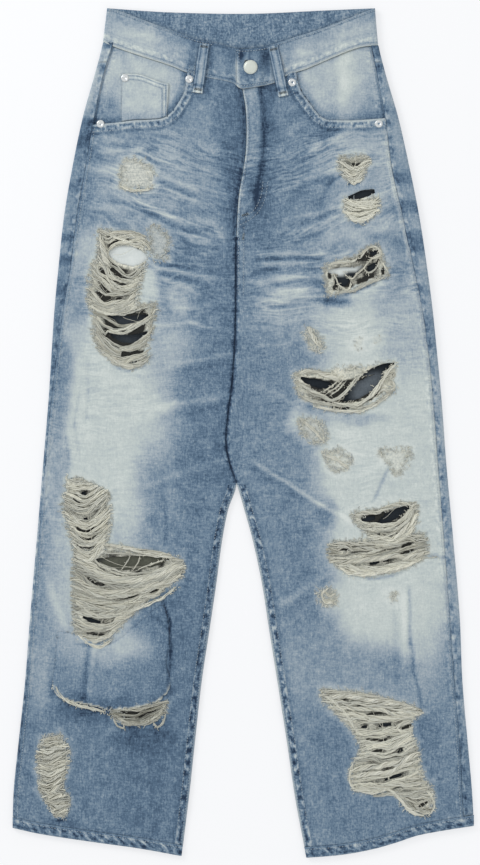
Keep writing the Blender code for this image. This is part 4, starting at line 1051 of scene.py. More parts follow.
def cloth_mesh(name, x, y, z, attributes, keep=None, facing=1, probe=slice(None), closed=False):
    """A mesh from a grid of points in millimetres. `facing` is the way the probe's columns look."""
    rows, columns = x.shape
    points = np.stack([x.ravel(), y.ravel(), z.ravel()], -1) * MM
    quads = grid_quads(rows, columns)
    if closed:
        ring = np.arange(rows) * columns
        seam = np.stack([ring[:-1] + columns - 1, ring[:-1], ring[1:], ring[1:] + columns - 1], -1)
        quads = np.concatenate([quads, seam])
    shown = np.zeros((rows - 1, columns - 1), bool)
    shown[:, probe] = True
    corners = points[quads[: shown.size]][shown.ravel()]
    looks = np.cross(corners[:, 2] - corners[:, 0], corners[:, 3] - corners[:, 1])[:, 2].sum()
    if looks * facing < 0:
        quads = quads[:, ::-1]
    if keep is not None:
        quads = quads[keep.ravel()[quads].all(axis=1)]
    used = np.unique(quads)
    renumbered = np.zeros(len(points), int)
    renumbered[used] = np.arange(len(used))
    mesh = bpy.data.meshes.new(name)
    mesh.from_pydata(points[used].tolist(), [], renumbered[quads].tolist())
    for key, values in attributes.items():
        put_attribute(mesh, key, np.broadcast_to(values, x.shape).ravel()[used])
    mesh.shade_smooth()
    mesh.update()
    return mesh


def placed(name, data):
    """An object in the scene."""
    made = bpy.data.objects.new(name, data)
    bpy.context.scene.collection.objects.link(made)
    return made


def add_piece(name, mesh, materials):
    for material in materials:
        mesh.materials.append(finished(material))
    return placed(name, mesh)


def cloth_piece(name, grid, attributes, wall, node, outside, inside=None, slot="washed_denim", **options):
    """A cloth shell in a node's place: the grid is its outer face, thickened inwards."""
    made = add_piece(name, cloth_mesh(name, *grid, attributes, **options), [outside, inside or outside])
    shell = made.modifiers.new("cloth", "SOLIDIFY")
    shell.thickness = wall * MM
    shell.offset = -1
    shell.use_even_offset = False
    shell.material_offset = 1
    shell.material_offset_rim = 0
    stand_in_for(made, slot, node)


def stand_in_for(made, slot, *nodes):
    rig.ride(made, BODY)
    if nodes:
        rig.replaces(made, *nodes)
    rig.slot(made, slot)


def snapped(x, y, distance, cell):
    """Move points near an outline onto it; returns them, and which are on the cloth's side."""
    step = 0.2
    for _ in range(2):
        d = distance(x, y)
        gx = (distance(x + step, y) - d) / step
        gy = (distance(x, y + step) - d) / step
        steep = np.maximum(np.hypot(gx, gy), 0.3)
        near = np.abs(d) < 0.62 * cell
        x = np.where(near, x - d * gx / steep ** 2, x)
        y = np.where(near, y - d * gy / steep ** 2, y)
    return x, y, distance(x, y) > -0.25 * cell


# ---------------------------------------------------------------- threads and stitches


class Threads:
    """Gathers short runs of thread, then makes one mesh of edges from them."""

    def __init__(self):
        self.points, self.edges, self.radius, self.tone, self.dye = [], [], [], [], []
        self.count = 0

    def add(self, x, y, z, radius, tone=1.0, dye=0.0):
        n = len(x)
        self.points.append(np.stack([x, y, z], -1) * MM)
        steps = np.arange(n - 1) + self.count
        self.edges.append(np.stack([steps, steps + 1], -1))
        self.radius.append(np.broadcast_to(radius, n) * MM)
        self.tone.append(np.full(n, tone))
        self.dye.append(np.full(n, dye))
        self.count += n

    def mesh(self, name, surface=None):
        """Edges of all the runs; with a surface, each z is a lift above it."""
        made = bpy.data.meshes.new(name)
        points = np.concatenate(self.points)
        if surface:
            points[:, 2] += surface(points[:, 0] / MM, points[:, 1] / MM) * MM
        made.from_pydata(points.tolist(), np.concatenate(self.edges).tolist(), [])
        put_attribute(made, "radius", np.concatenate(self.radius))
        put_attribute(made, "tone", np.concatenate(self.tone))
        put_attribute(made, "dye", np.concatenate(self.dye))
        return made


class Signal:
    """A node's output, which arithmetic carries on with Math nodes."""

    def __init__(self, socket):
        self.socket = socket
        self.tree = socket.id_data

    def math(self, operation, *values):
        return outcome(self.tree, "ShaderNodeMath", dict(enumerate((self, *values))), operation=operation)

    def __add__(self, other):
        return self.math("ADD", other)

    def __sub__(self, other):
        return self.math("SUBTRACT", other)

    def __mul__(self, other):
        return self.math("MULTIPLY", other)

    def clamp(self, low=0.0, high=1.0):
        return self.math("MAXIMUM", low).math("MINIMUM", high)


def feed(node, inputs):
    """Set or link a node's inputs: a number, name, colour or vector, or a Signal."""
    for key, value in inputs.items():
        socket = node.inputs[key]
        if isinstance(value, Signal):
            node.id_data.links.new(value.socket, socket)
        elif isinstance(value, tuple) and len(value) < len(socket.default_value):
            socket.default_value = (*value, 1)
        else:
            socket.default_value = value


def add_node(tree, kind, inputs=None, **settings):
    node = tree.nodes.new(kind)
    for key, value in settings.items():
        setattr(node, key, value)
    feed(node, inputs or {})
    return node


def outcome(tree, kind, inputs=None, key=0, **settings):
    """The output of a new node."""
    return Signal(add_node(tree, kind, inputs, **settings).outputs[key])


def node_group(name, kind, inputs, outputs):
    """A new group of nodes, its inputs, and the node that takes its outputs."""
    group = bpy.data.node_groups.new(name, kind)
    for label, (sort, value) in inputs.items():
        socket = group.interface.new_socket(label, in_out="INPUT", socket_type="NodeSocket" + sort)
        if value is not None:
            socket.default_value = value
    for label, sort in outputs.items():
        group.interface.new_socket(label, in_out="OUTPUT", socket_type="NodeSocket" + sort)
    start = group.nodes.new("NodeGroupInput")
    return group, [Signal(start.outputs[label]) for label in inputs], group.nodes.new("NodeGroupOutput")


def growing(name, settings):
    """A geometry node tree from a guide mesh, with a helper that adds its nodes."""
    tree, inputs, end = node_group(name, "GeometryNodeTree", {
        "Geometry": ("Geometry", None), **settings, "Material": ("Material", None)}, {"Geometry": "Geometry"})

    def step(kind, given=None, **how):
        return outcome(tree, "GeometryNode" + kind, given, **how)

    return tree, inputs, end, step


def grown_end(step, shape, material, end):
    """Smooth a tree's shape, make it real and give it its finish."""
    real = step("RealizeInstances", {"Geometry": step("SetShadeSmooth", {"Geometry": shape})})
    feed(end, {"Geometry": step("SetMaterial", {"Geometry": real, "Material": material})})


def thread_tree():
    """Tubes along runs of edges, as thick as each point's radius."""
    tree, (guide, sides, material), end, step = growing("worn_thread", {"Sides": ("Int", 5)})
    radius = step("InputNamedAttribute", {"Name": "radius"}, key="Attribute", data_type="FLOAT")
    circle = step("CurvePrimitiveCircle", {"Resolution": sides, "Radius": 1.0})
    tube = step("CurveToMesh", {
        "Curve": step("MeshToCurve", {"Mesh": guide}), "Profile Curve": circle, "Scale": radius,
        "Fill Caps": True})
    grown_end(step, tube, material, end)
    return tree


def stitch_tree():
    """Stitches along runs of edges: one plump stitch at each step."""
    tree, (guide, pitch, length, thickness, material), end, step = growing("topstitch", {
        "Pitch": ("Float", 0.0032), "Length": ("Float", 0.0025), "Thickness": ("Float", 0.0007)})
    curve = step("MeshToCurve", {"Mesh": guide})
    run = step("ResampleCurve", {"Curve": curve, "Length": pitch}, mode="LENGTH")
    turn = outcome(tree, "FunctionNodeAlignRotationToVector", {"Vector": step("InputTangent")}, axis="X")
    size = outcome(tree, "ShaderNodeCombineXYZ", {"X": length, "Y": thickness, "Z": thickness})
    bead = step("MeshUVSphere", {"Segments": 6, "Rings": 3, "Radius": 0.5})
    stitches = step("InstanceOnPoints", {
        "Points": run, "Instance": step("Transform", {"Geometry": bead, "Scale": size}), "Rotation": turn})
    grown_end(step, stitches, material, end)
    return tree


def grown(name, guide, tree, values):
    """Run a geometry node tree on a guide mesh and keep the result as a plain mesh."""
    source = placed(name + "_guide", guide)
    modifier = source.modifiers.new("grow", "NODES")
    modifier.node_group = tree
    for socket in tree.interface.items_tree:
        if socket.item_type == "SOCKET" and socket.in_out == "INPUT" and socket.name in values:
            modifier[socket.identifier] = values[socket.name]
    source.update_tag()
    graph = bpy.context.evaluated_depsgraph_get()
    mesh = bpy.data.meshes.new_from_object(source.evaluated_get(graph))
    mesh.name = name
    bpy.data.objects.remove(source, do_unlink=True)
    made = placed(name, mesh)
    stand_in_for(made, "washed_denim")


def tree_named(name, build):
    return bpy.data.node_groups.get(name) or build()


def thread_piece(name, threads, material, sides, surface=None):
    grown(name, threads.mesh(name, surface), tree_named("worn_thread", thread_tree), {
        "Sides": sides, "Material": finished(material)})


def stitch_piece(name, runs, pitch):
    threads = Threads()
    for x, y, z in runs:
        threads.add(np.asarray(x, float), np.asarray(y, float), np.asarray(z, float), 0.3)
    grown(name, threads.mesh(name), tree_named("topstitch", stitch_tree), {
        "Pitch": pitch * MM, "Length": STITCH_LENGTH * MM, "Thickness": STITCH_THICK * MM,
        "Material": finished("topstitch_thread")})


# ---------------------------------------------------------------- materials


def srgb(code):
    """A web colour as linear numbers."""
    parts = [int(code[i:i + 2], 16) / 255 for i in (1, 3, 5)]
    return tuple(c / 12.92 if c <= 0.04045 else ((c + 0.055) / 1.055) ** 2.4 for c in parts)


def blend_colour(factor, a, b):
    return outcome(factor.tree, "ShaderNodeMix", {0: factor, 6: a, 7: b}, 2, data_type="RGBA")


def axis(vector, name):
    return outcome(vector.tree, "ShaderNodeSeparateXYZ", {0: vector}, name)


def combined(x, y):
    return outcome(x.tree, "ShaderNodeCombineXYZ", {"X": x, "Y": y})


def grain(vector, scale, detail=3.0, roughness=0.6):
    """Noise from -0.5 to 0.5 on a vector stretched by `scale`."""
    stretched = outcome(vector.tree, "ShaderNodeVectorMath", {0: vector, 1: scale}, operation="MULTIPLY")
    return outcome(vector.tree, "ShaderNodeTexNoise", {
        "Vector": stretched, "Scale": 1.0, "Detail": detail, "Roughness": roughness}) - 0.5


def twill_group():
    """Denim's weave: diagonal twill, uneven yarns and heathered mottling."""
    _group, (place, pitch, yarns, mottle), end = node_group("twill_weave", "ShaderNodeTree", {
        "Vector": ("Vector", None), "Pitch": ("Float", 0.0011), "Yarn": ("Float", 1.0),
        "Mottle": ("Float", 1.0)}, TONE_AND_HEIGHT)
    diagonal = axis(place, "X") + axis(place, "Y") * 0.55
    rib = (diagonal * math.tau).math("DIVIDE", pitch).math("SINE")
    yarn = grain(place, (900, 120, 120)) * 0.9 + grain(place, (130, 850, 130)) * 0.7
    speck = grain(place, (400, 360, 360), 4, 0.75) * 1.9 + grain(place, (95, 80, 80), 4, 0.65) * 0.9
    feed(end, {"Tone": yarn * yarns + speck * mottle + rib * 0.07, "Height": rib * 0.35 + yarn * 0.8})


# Indigo from unworn to bleached: the level of each shade and its colour
Shade = namedtuple("Shade", "level name")
SHADES = rows(
    Shade,
    (40, "indigo"), (102, "deep"), (132, "mid"), (169, "pale"), (198, "bleached"), (220, "bare"))


def indigo_group():
    """Colour of the wash at a level from 0 to 1."""
    colours = bpy.context.scene.jeans_cloth
    inputs = {shade.name: ("Color", (*getattr(colours, shade.name), 1)) for shade in SHADES}
    group, (level, colour, *darker), end = node_group("indigo_wash", "ShaderNodeTree", {
        "Level": ("Float", 0.5), **inputs}, {"Color": "Color"})
    for lower, upper, paler in zip(SHADES, SHADES[1:], darker):
        share = outcome(group, "ShaderNodeMapRange", {
            "Value": level, "From Min": lower.level / 255, "From Max": upper.level / 255})
        colour = blend_colour(share, colour, paler)
    feed(end, {"Color": colour})


def peak(value, line):
    """1 at the line's place, falling to 0 at its width."""
    away = (value - line.at).math("ABSOLUTE")
    return (away * (-1 / line.width) + 1.0).math("MAXIMUM", 0.0)


def edge_group(name, lines, ticks):
    """Rims, grooves with painted shade, and puckers along a sewn edge, from the nearness to it and the place along it.
    """
    group, (nearness, along), end = node_group("sewn_" + name, "ShaderNodeTree", {
        "Near": ("Float", 0.0), "Along": ("Float", 0.0)}, TONE_AND_HEIGHT)
    across = nearness * -1 + EDGE_REACH
    wave = grain(combined(along, across), (1 / ticks.length, 0.16, 1), 2, 0.5)
    between = peak(across, Line((ticks.low + ticks.high) / 2, (ticks.high - ticks.low) / 2, 0))
    puckered = (wave * 6).clamp(-1, 1) * (between * 3.0).math("MINIMUM", 1.0)
    tone = puckered * ticks.tone
    for line in lines:
        tone = peak(across, line) * line.tone + tone
    feed(end, {"Tone": tone, "Height": puckered * 0.8 + tone * 3.0})
    return group


def sewn_edges(material):
    """The marks of all the sewn edges that a finish has, as a tone and a height."""
    sums = []
    for name, (lines, ticks) in EDGES[material.name].items():
        marks = group_marks(material, edge_group(name, lines, ticks), {
            "Near": attribute(material, "near_" + name), "Along": attribute(material, "along")})
        sums = [a + b for a, b in zip(sums, marks)] if sums else marks
    return sums


def group_marks(material, group, inputs):
    """The tone and the height that a group gives."""
    node = add_node(material.node_tree, "ShaderNodeGroup", inputs, node_tree=group)
    return [Signal(node.outputs[label]) for label in TONE_AND_HEIGHT]


def attribute(material, name):
    return outcome(material.node_tree, "ShaderNodeAttribute", key="Fac", attribute_name=name)


def object_place(material):
    return outcome(material.node_tree, "ShaderNodeTexCoord", key="Object")


def new_material(name, roughness, metallic=0.0, sheen=0.0):
    material = bpy.data.materials.new(name)
    material.use_nodes = True
    shader = material.node_tree.nodes["Principled BSDF"]
    feed(shader, {"Roughness": roughness, "Metallic": metallic, "Sheen Weight": sheen,
                  "Specular IOR Level": 0.5 if metallic else 0.2})
    return material, shader


def finish(shader, colour, height, strength, distance=0.0006):
    """Give a shader its colour and its relief."""
    normal = outcome(shader.id_data, "ShaderNodeBump", {
        "Strength": strength, "Distance": distance, "Height": height})
    feed(shader, {"Base Color": colour, "Normal": normal})


def woven(material, yarn=1.0, mottle=1.0):
    return group_marks(material, bpy.data.node_groups["twill_weave"], {
        "Yarn": yarn, "Mottle": mottle, "Vector": object_place(material)})


def fine_creases(material):
    """Sharp worn lines where the piece's own fan of creases runs."""
    place = combined(axis(object_place(material), "X") * 24, attribute(material, "rise") * 0.16)
    line = grain(place, (1, 1, 1), 2, 0.5).math("ABSOLUTE")
    return (line * -11 + 1.0).math("MAXIMUM", -0.5) * attribute(material, "fan")


def washed_colour(weave, strength, base):
    """The indigo colour for a level, varied by the weave."""
    depth = (base * -2.6 + 2.45).math("MAXIMUM", 0.45)
    return outcome(base.tree, "ShaderNodeGroup", {"Level": base + weave * (depth * strength)},
                   node_tree=bpy.data.node_groups["indigo_wash"])


def denim_material(name):
    """Washed denim with bare weft threads where the rips' mask says so, and painted shade between the threads and in
    the slits.
    """
    material, shader = new_material(name, 0.92, sheen=0.08)
    colours = bpy.context.scene.jeans_cloth
    weave, height = woven(material)
    creases = fine_creases(material)
    edge_tone, edge_height = sewn_edges(material)
    denim = washed_colour(weave, 0.24, creases * 0.10 + attribute(material, "wash") + edge_tone)
    strand = combined(axis(object_place(material), "X") * 45, attribute(material, "strand") * 0.55)
    streak = grain(strand, (1, 1, 1), 3, 0.7)
    fuzz = grain(object_place(material), (420, 420, 420), 3, 0.7)
    # bare weft: streaks from the painted shade between threads to the weft's own colour
    light = (fuzz * 2.0 + (streak * 1.4 + 0.68)).clamp()
    bare = blend_colour(light, tuple(colours.thread_shadow), tuple(colours.weft))
    colour = blend_colour(attribute(material, "bare"), denim, bare)
    # painted shade where the cords stand apart and in the slits
    shade = (light * -0.4 + attribute(material, "depth") * 1.8).clamp()
    colour = blend_colour(shade, colour, tuple(colours.gap))
    finish(shader, colour, edge_height * 1.2 + (creases * 1.2 + height), 0.4)


def plain_denim_material(name, level):
    """Denim of one even level, for a wrong side that shows."""
    material, shader = new_material(name, 0.94)
    weave, height = woven(material)
    even = material.node_tree.nodes.new("ShaderNodeValue").outputs[0]
    even.default_value = level / 255
    finish(shader, washed_colour(weave, 0.34, Signal(even)), height, 0.35)


def inside_material(name):
    """The wrong side of the denim, painted dark for the shade between the two layers of a leg, lighter where the
    widest rips let light in.
    """
    material, shader = new_material(name, 0.95)
    colours = bpy.context.scene.jeans_cloth
    weave, height = woven(material)
    cool = blend_colour(attribute(material, "lit"), tuple(colours.inside_dark), tuple(colours.inside_cool))
    colour = blend_colour(attribute(material, "warm"), cool, tuple(colours.inside_warm))
    varied = outcome(material.node_tree, "ShaderNodeHueSaturation", {
        "Value": weave * 0.5 + 1.0, "Color": colour})
    finish(shader, varied, height, 0.35)


def cotton_material(name):
    """Plain white cotton of the pocket bags, painted dark where its `shade` attribute marks shade."""
    material, shader = new_material(name, 0.9)
    colours = bpy.context.scene.jeans_cloth
    weave, height = woven(material, 0.6, 0.7)
    colour = blend_colour(weave * 0.5 + 0.5, tuple(colours.cotton_shade), tuple(colours.cotton))
    colour = blend_colour(attribute(material, "shade"), colour, tuple(colours.inside_dark))
    finish(shader, colour, height, 0.2, 0.0004)


def thread_material(name, plain, shadow, dyed):
    """Loose yarn: each run has its own tone, from the plain colour to a painted shaded one, and some keep their blue.
    """
    material, shader = new_material(name, 0.95, sheen=0.1)
    fuzz = grain(object_place(material), (700, 900, 700))
    tone = attribute(material, "tone") + fuzz * 0.5
    yarn = blend_colour(tone.clamp(), shadow, plain)
    finish(shader, blend_colour(attribute(material, "dye"), yarn, dyed), fuzz, 0.4, 0.0004)


def metal_material(name, colour, roughness, metallic):
    material, shader = new_material(name, roughness, metallic)
    tarnish = grain(object_place(material), (260, 260, 260), 4)
    darker = tuple(c * 0.72 for c in colour)
    finish(shader, blend_colour(tarnish * 0.9 + 0.35, colour, darker), tarnish, 0.12, 0.0003)
    feed(shader, {"Roughness": tarnish * 0.4 + roughness})


# ---------------------------------------------------------------- settings


def colour_setting(name, description, code):
    return FloatVectorProperty(
        name=name, description=description, default=srgb(code), subtype="COLOR", min=0, max=1, size=3)


def length_setting(name, description, millimetres):
    return FloatProperty(name=name, description=description, default=millimetres * MM, min=0, unit="LENGTH")


class JeansCloth(bpy.types.PropertyGroup):
    """Sizes and colours of the cloth and its threads."""

    panel_grid: length_setting("Panel grid", "Spacing of a front panel's points", 2.4)
    back_grid: length_setting("Back grid", "Spacing of a back panel's points", 5.0)
    panel_wall: length_setting("Denim wall", "Thickness of a denim panel's shell", 1.1)
    pitch: length_setting("Stitch pitch", "Distance from one topstitch to the next", 3.4)
    thread_width: length_setting("Loose thread", "Mean radius of a loose weft thread", 0.6)
    thread_sides: IntProperty(
        name="Thread sides", description="Sides of a thread's tube", default=3, min=3, max=8)
    indigo: colour_setting("Indigo", "Unworn denim", "#22344b")
    deep: colour_setting("Deep", "Denim in folds and along the fly", "#526a82")
    mid: colour_setting("Mid", "Denim of the shins", "#71879b")
    pale: colour_setting("Pale", "Denim of the hips", "#9facb6")
    bleached: colour_setting("Bleached", "Denim of the thighs", "#bdc7c6")
    bare: colour_setting("Bare", "Almost no dye left", "#d3dad7")
    weft: colour_setting("Weft", "Undyed weft threads", "#e6e5d6")
    # Painted shade: between threads, on a thread's side turned from the light, and in a rip's slits
    thread_shadow: colour_setting("Between threads", "Shade between weft threads", "#788280")
    thread_groove: colour_setting("Thread, shaded", "Weft thread turned from the light", "#6d6d61")
    gap: colour_setting("Slit", "Depth of a slit between threads", "#292a28")
    # Painted shade and light of the wrong side: dark between a leg's two layers, lighter where wide rips let light in
    inside_dark: colour_setting("Inside", "Wrong side of the back, in shade", "#23292f")
    inside_cool: colour_setting("Inside, slate", "Wrong side where a wide rip lets light in", "#5a6269")
    inside_warm: colour_setting("Inside, olive", "Wrong side behind the wide knee rip", "#55574e")
    cotton: colour_setting("Cotton", "Pocket bag", "#e2e6e4")
    cotton_shade: colour_setting("Cotton, shaded", "Pocket bag in shade", "#bcc6c6")
    topstitch: colour_setting("Topstitch", "Faded topstitching thread", "#aab6be")
    topstitch_shadow: colour_setting("Topstitch, worn", "Darker topstitching thread", "#6f8496")
    button_metal: colour_setting("Button", "Cream enamel of the button", "#d6dcd4")
    rivet_metal: colour_setting("Rivet", "Pale metal of the rivets", "#dfe3e4")


class JeansStage(bpy.types.PropertyGroup):
    """The floor, the light and the camera."""

    view_width: length_setting("View width", "Width of the picture at the garment", 576.0)
    camera_lens: FloatProperty(name="Lens", description="Focal length in millimetres", default=120.0, min=20)
    across: FloatProperty(name="Across", description="Camera's place across", default=-0.0039, unit="LENGTH")
    along: FloatProperty(name="Along", description="Camera's place along", default=0.0006, unit="LENGTH")
    floor: colour_setting("Floor", "Pale floor", "#f8f9fb")
    sky: FloatProperty(name="Sky", description="Strength of the even light", default=0.80, min=0)
    key: FloatProperty(name="Key lamp", description="Power of the key lamp, in watts", default=30.0, min=0)


# ---------------------------------------------------------------- operators


class Step:
    """One step of making the jeans, shown as a button."""

    bl_options = {"REGISTER", "UNDO"}

    def execute(self, context):
        self.make(context.scene.jeans_cloth)
        return {"FINISHED"}


class JEANS_OT_finishes(Step, bpy.types.Operator):
    """Make the denim, cotton, thread and metal finishes"""

    bl_idname = "jeans.finishes"
    bl_label = "Finishes"

    def make(self, cloth):
        twill_group()
        indigo_group()
        for name in EDGES:
            denim_material(name)
        inside_material("denim_inside")
        plain_denim_material("band_inside", 121)
        cotton_material("pocket_drill")
        thread_material("weft_thread", tuple(cloth.weft), tuple(cloth.thread_groove), tuple(cloth.pale))
        thread_material(
            "topstitch_thread", tuple(cloth.topstitch), tuple(cloth.topstitch_shadow), tuple(cloth.mid))
        metal_material("cream_button", tuple(cloth.button_metal), 0.42, 0.25)
        metal_material("pale_rivet", tuple(cloth.rivet_metal), 0.3, 0.55)
        metal_material("zip_finish", tuple(cloth.pale), 0.4, 0.8)


def front_grid(side, cell):
    """Points of a front panel: x and y, rows from the waist down."""
    columns = int(round(240 / cell))
    rows = int(round(980 / cell))
    across, row = np.meshgrid(np.linspace(0, 1, columns), np.linspace(0, sum(FRONT_ROWS), rows))
    x = mix(outseam(side, 440.0), inner_edge(side, 420.0), across)
    for _ in range(3):
        top = band_foot(x) + TUCK
        x = mix(outseam(side, top), inner_edge(side, top), across)
    hem_x = mix(outseam(side, -474.0), inner_edge(side, -500.0), across)
    foot = hem_foot(side, hem_x) + HEM_DEPTH - TUCK
    y = row_height(top, foot, row, FRONT_ROWS)
    return mix(outseam(side, y) + sign(side) * LAP, inner_edge(side, y), across), y


def front_keep(side):
    """Distance function of a front panel: positive on the cloth, negative in holes and the mouth."""
    def distance(x, y):
        ragged = 0.7 * noise(x, y, 3.5, 61)
        return np.minimum(hole_distance(HOLES, side, x, y) + ragged, mouth_distance(side, x, y))

    return distance


def front_attributes(side, x, y):
    state = worn(side, x, y)
    wash = front_wash(side, x, y)
    wash = wash + state.halo * (14 + 22 * eased(180, 120, wash))
    rise, fan = whisker_lines(side, x, y)
    return {
        "wash": wash / 255, "bare": state.bare, "depth": state.depth, "strand": state.strand,
        "rise": rise, "fan": fan * (1 - state.bare), **sewn_place(side, x, y)}


class JEANS_OT_front_panels(Step, bpy.types.Operator):
    """Lay the two front panels, with their pocket mouths, creases and worn holes"""

    bl_idname = "jeans.front_panels"
    bl_label = "Front panels"

    def make(self, cloth):
        cell = cloth.panel_grid / MM
        for side in SIDE_NAMES:
            x, y, keep = snapped(*front_grid(side, cell), front_keep(side), cell)
            cloth_piece(
                "front_panel_" + side, (x, y, front_surface(side, x, y)), front_attributes(side, x, y),
                cloth.panel_wall / MM, "front_leg_" + side, "worn_denim", "denim_inside", keep=keep)


def wrap_columns(count):
    """Columns of a back piece: kind and place along it, from the middle out and onto the front."""
    flat = [("flat", share) for share in np.linspace(0, 1, count)]
    turn = [("turn", angle) for angle in np.linspace(0, math.pi, 9)[1:]]
    lip = [("lip", share) for share in np.linspace(0, 1, 7)[1:]]
    return flat + turn + lip


def wrap_place(side, kind, at, y):
    """x and z of a back piece's outer face at height y."""
    low, high = back_level(y), top_level(y)
    radius = (high - low) / 2
    centre = side_edge(side, y) - sign(side) * radius
    if kind == "flat":
        return mix(inner_edge(side, y) + 0.9 * eased(-54, -46, y), centre, at), low + 0 * y
    if kind == "turn":
        return centre + sign(side) * radius * math.sin(at), low + radius * (1 - math.cos(at))
    return mix(centre, outseam(side, y), at), high + 0 * y


def back_sheet(side, columns, heights, top, foot):
    """Grid of a back piece between two lines, each a function of (share, x)."""
    runs = []
    for kind, at in columns:
        share = at if kind == "flat" else 1.0
        high_x, _z = wrap_place(side, kind, at, np.array(445.0))
        low_x, _z = wrap_place(side, kind, at, np.array(-480.0))
        y = heights(top(share, high_x), foot(share, low_x))
        x, z = wrap_place(side, kind, at, y)
        runs.append((x, y, z))
    return [np.stack(values, -1) for values in zip(*runs)]


def yoke_line(share):
    return mix(YOKE_CENTRE, YOKE_SIDE, share)


SEAT_CREASES = sided(Crease, back=[
    (30, 250, 110, 236, 7, 10), (24, 205, 120, 214, 8, -10), (26, 180, 104, 196, 7, 12),
    (40, 140, 150, 160, 8, 9), (60, -60, 200, -90, 8, 12), (70, -110, 214, -128, 8, -10),
    (66, -160, 196, -150, 9, 10), (110, -300, 220, -330, 10, 9), (96, -420, 180, -400, 9, -8)])


def back_shade(x, y):
    """Creases of the back, the same idea on both legs but not in step."""
    wx, wy = np.abs(x) + 4 * noise(x, y, 40, 71), y + 5 * noise(x, y, 50, 72)
    return ridges(SEAT_CREASES, "shade", 2.5, wx, wy)


def strip_wash(side, x, y):
    """Level of the back's strip along the side seam, with the painted shade of its puckers and a dark line at the yoke
    seam.
    """
    level = read(STRIPS[side], "y", "level", y) + 9 * noise(x, y, 9, 73)
    pucker_shade = eased(0.15, 0.6, noise(y, 0 * y + 0.5, 13 if side == "right" else 17, 75))
    return level - pucker_shade * mix(14, 42, eased(110, 190, y)) - 40 * bell(y - YOKE_SIDE + 4, 3)


def back_wash(side, x, y, on_lip):
    """Level of the back: worn on the seat and behind the knees; the lip follows the front."""
    level = 126 + 26 * eased(70, 20, np.abs(np.abs(x) - 105)) * eased(60, 150, y) * eased(420, 330, y)
    level = level + 40 * eased(90, 30, np.abs(np.abs(x) - 140)) * eased(-260, -120, y) * eased(110, 20, y)
    return mix(level + back_shade(x, y), strip_wash(side, x, y), on_lip)


def inside_light(side, x, y):
    """How much light and warmth the wrong side shows through the widest rips."""
    lit, warm = np.zeros(np.shape(x)), np.zeros(np.shape(x))
    if side == "left":
        lit = eased(34, 22, np.hypot(x - 158, (y - 50) / 0.8))
    else:
        warm = eased(62, 46, np.hypot(x + 120, (y + 162) * 2.2))
        lit = 0.35 * eased(60, 30, np.hypot(x + 130, (y - 110)))
    return lit, warm


class JEANS_OT_back_panels(Step, bpy.types.Operator):
    """Lay the back legs and the yokes, which wrap round the sides onto the front"""

    bl_idname = "jeans.back_panels"
    bl_label = "Back panels and yokes"

    def make(self, cloth):
        leg_steps = np.linspace(0, sum(BACK_ROWS), int(960 * MM / cloth.back_grid))
        yoke_steps = np.linspace(0, 1, 16)
        for side in SIDE_NAMES:
            self.panel(
                cloth, side, "back_panel_", "back_leg_",
                lambda top, foot: row_height(top, foot, leg_steps, BACK_ROWS),
                lambda share, _x: yoke_line(share) - SEAM / 2,
                lambda _share, x: hem_foot(side, x) + HEM_DEPTH + CURVED_SEAM)
            self.panel(
                cloth, side, "yoke_", "back_yoke_", lambda top, foot: mix(top, foot, yoke_steps),
                lambda _share, x: back_foot(x) - CURVED_SEAM, lambda share, _x: yoke_line(share) + SEAM / 2)

    def panel(self, cloth, side, name, node, heights, top, foot):
        columns = wrap_columns(int(230 * MM / cloth.back_grid))
        x, y, z = back_sheet(side, columns, heights, top, foot)
        on_lip = np.array([kind == "lip" or (kind == "turn" and at > 1.2) for kind, at in columns], float)
        on_lip = np.broadcast_to(on_lip, x.shape)
        flat = np.array([kind == "flat" for kind, at in columns], float)
        relief = 0.02 * back_shade(x, y) + 0.3 * noise(x, y, 36, 76) + 0.12 * noise(x, y, 12, 77)
        middle = eased(14, 2, np.abs(x - inner_edge(side, y)))
        z = z + np.abs(relief) * flat * (1 - middle)
        z = z + on_lip * (0.12 * noise(x, y, 12, 78) + 0.2 * pucker(y, 8.0, 74) * (side == "left"))
        lit, warm = inside_light(side, x, y)
        wash = back_wash(side, x, y, on_lip) - 30 * middle * flat * (1 + pucker(y, 5.0, 79)) * 0.5
        cloth_piece(name + side, (x, y, z), {
            "wash": wash / 255, "lit": lit, "warm": warm, "along": y,
            "near_strip": near(np.abs(x - outseam(side, y)), on_lip > 0),
        }, cloth.panel_wall / MM, node + side, "strip_denim", "denim_inside", facing=-1, probe=slice(0, 20))


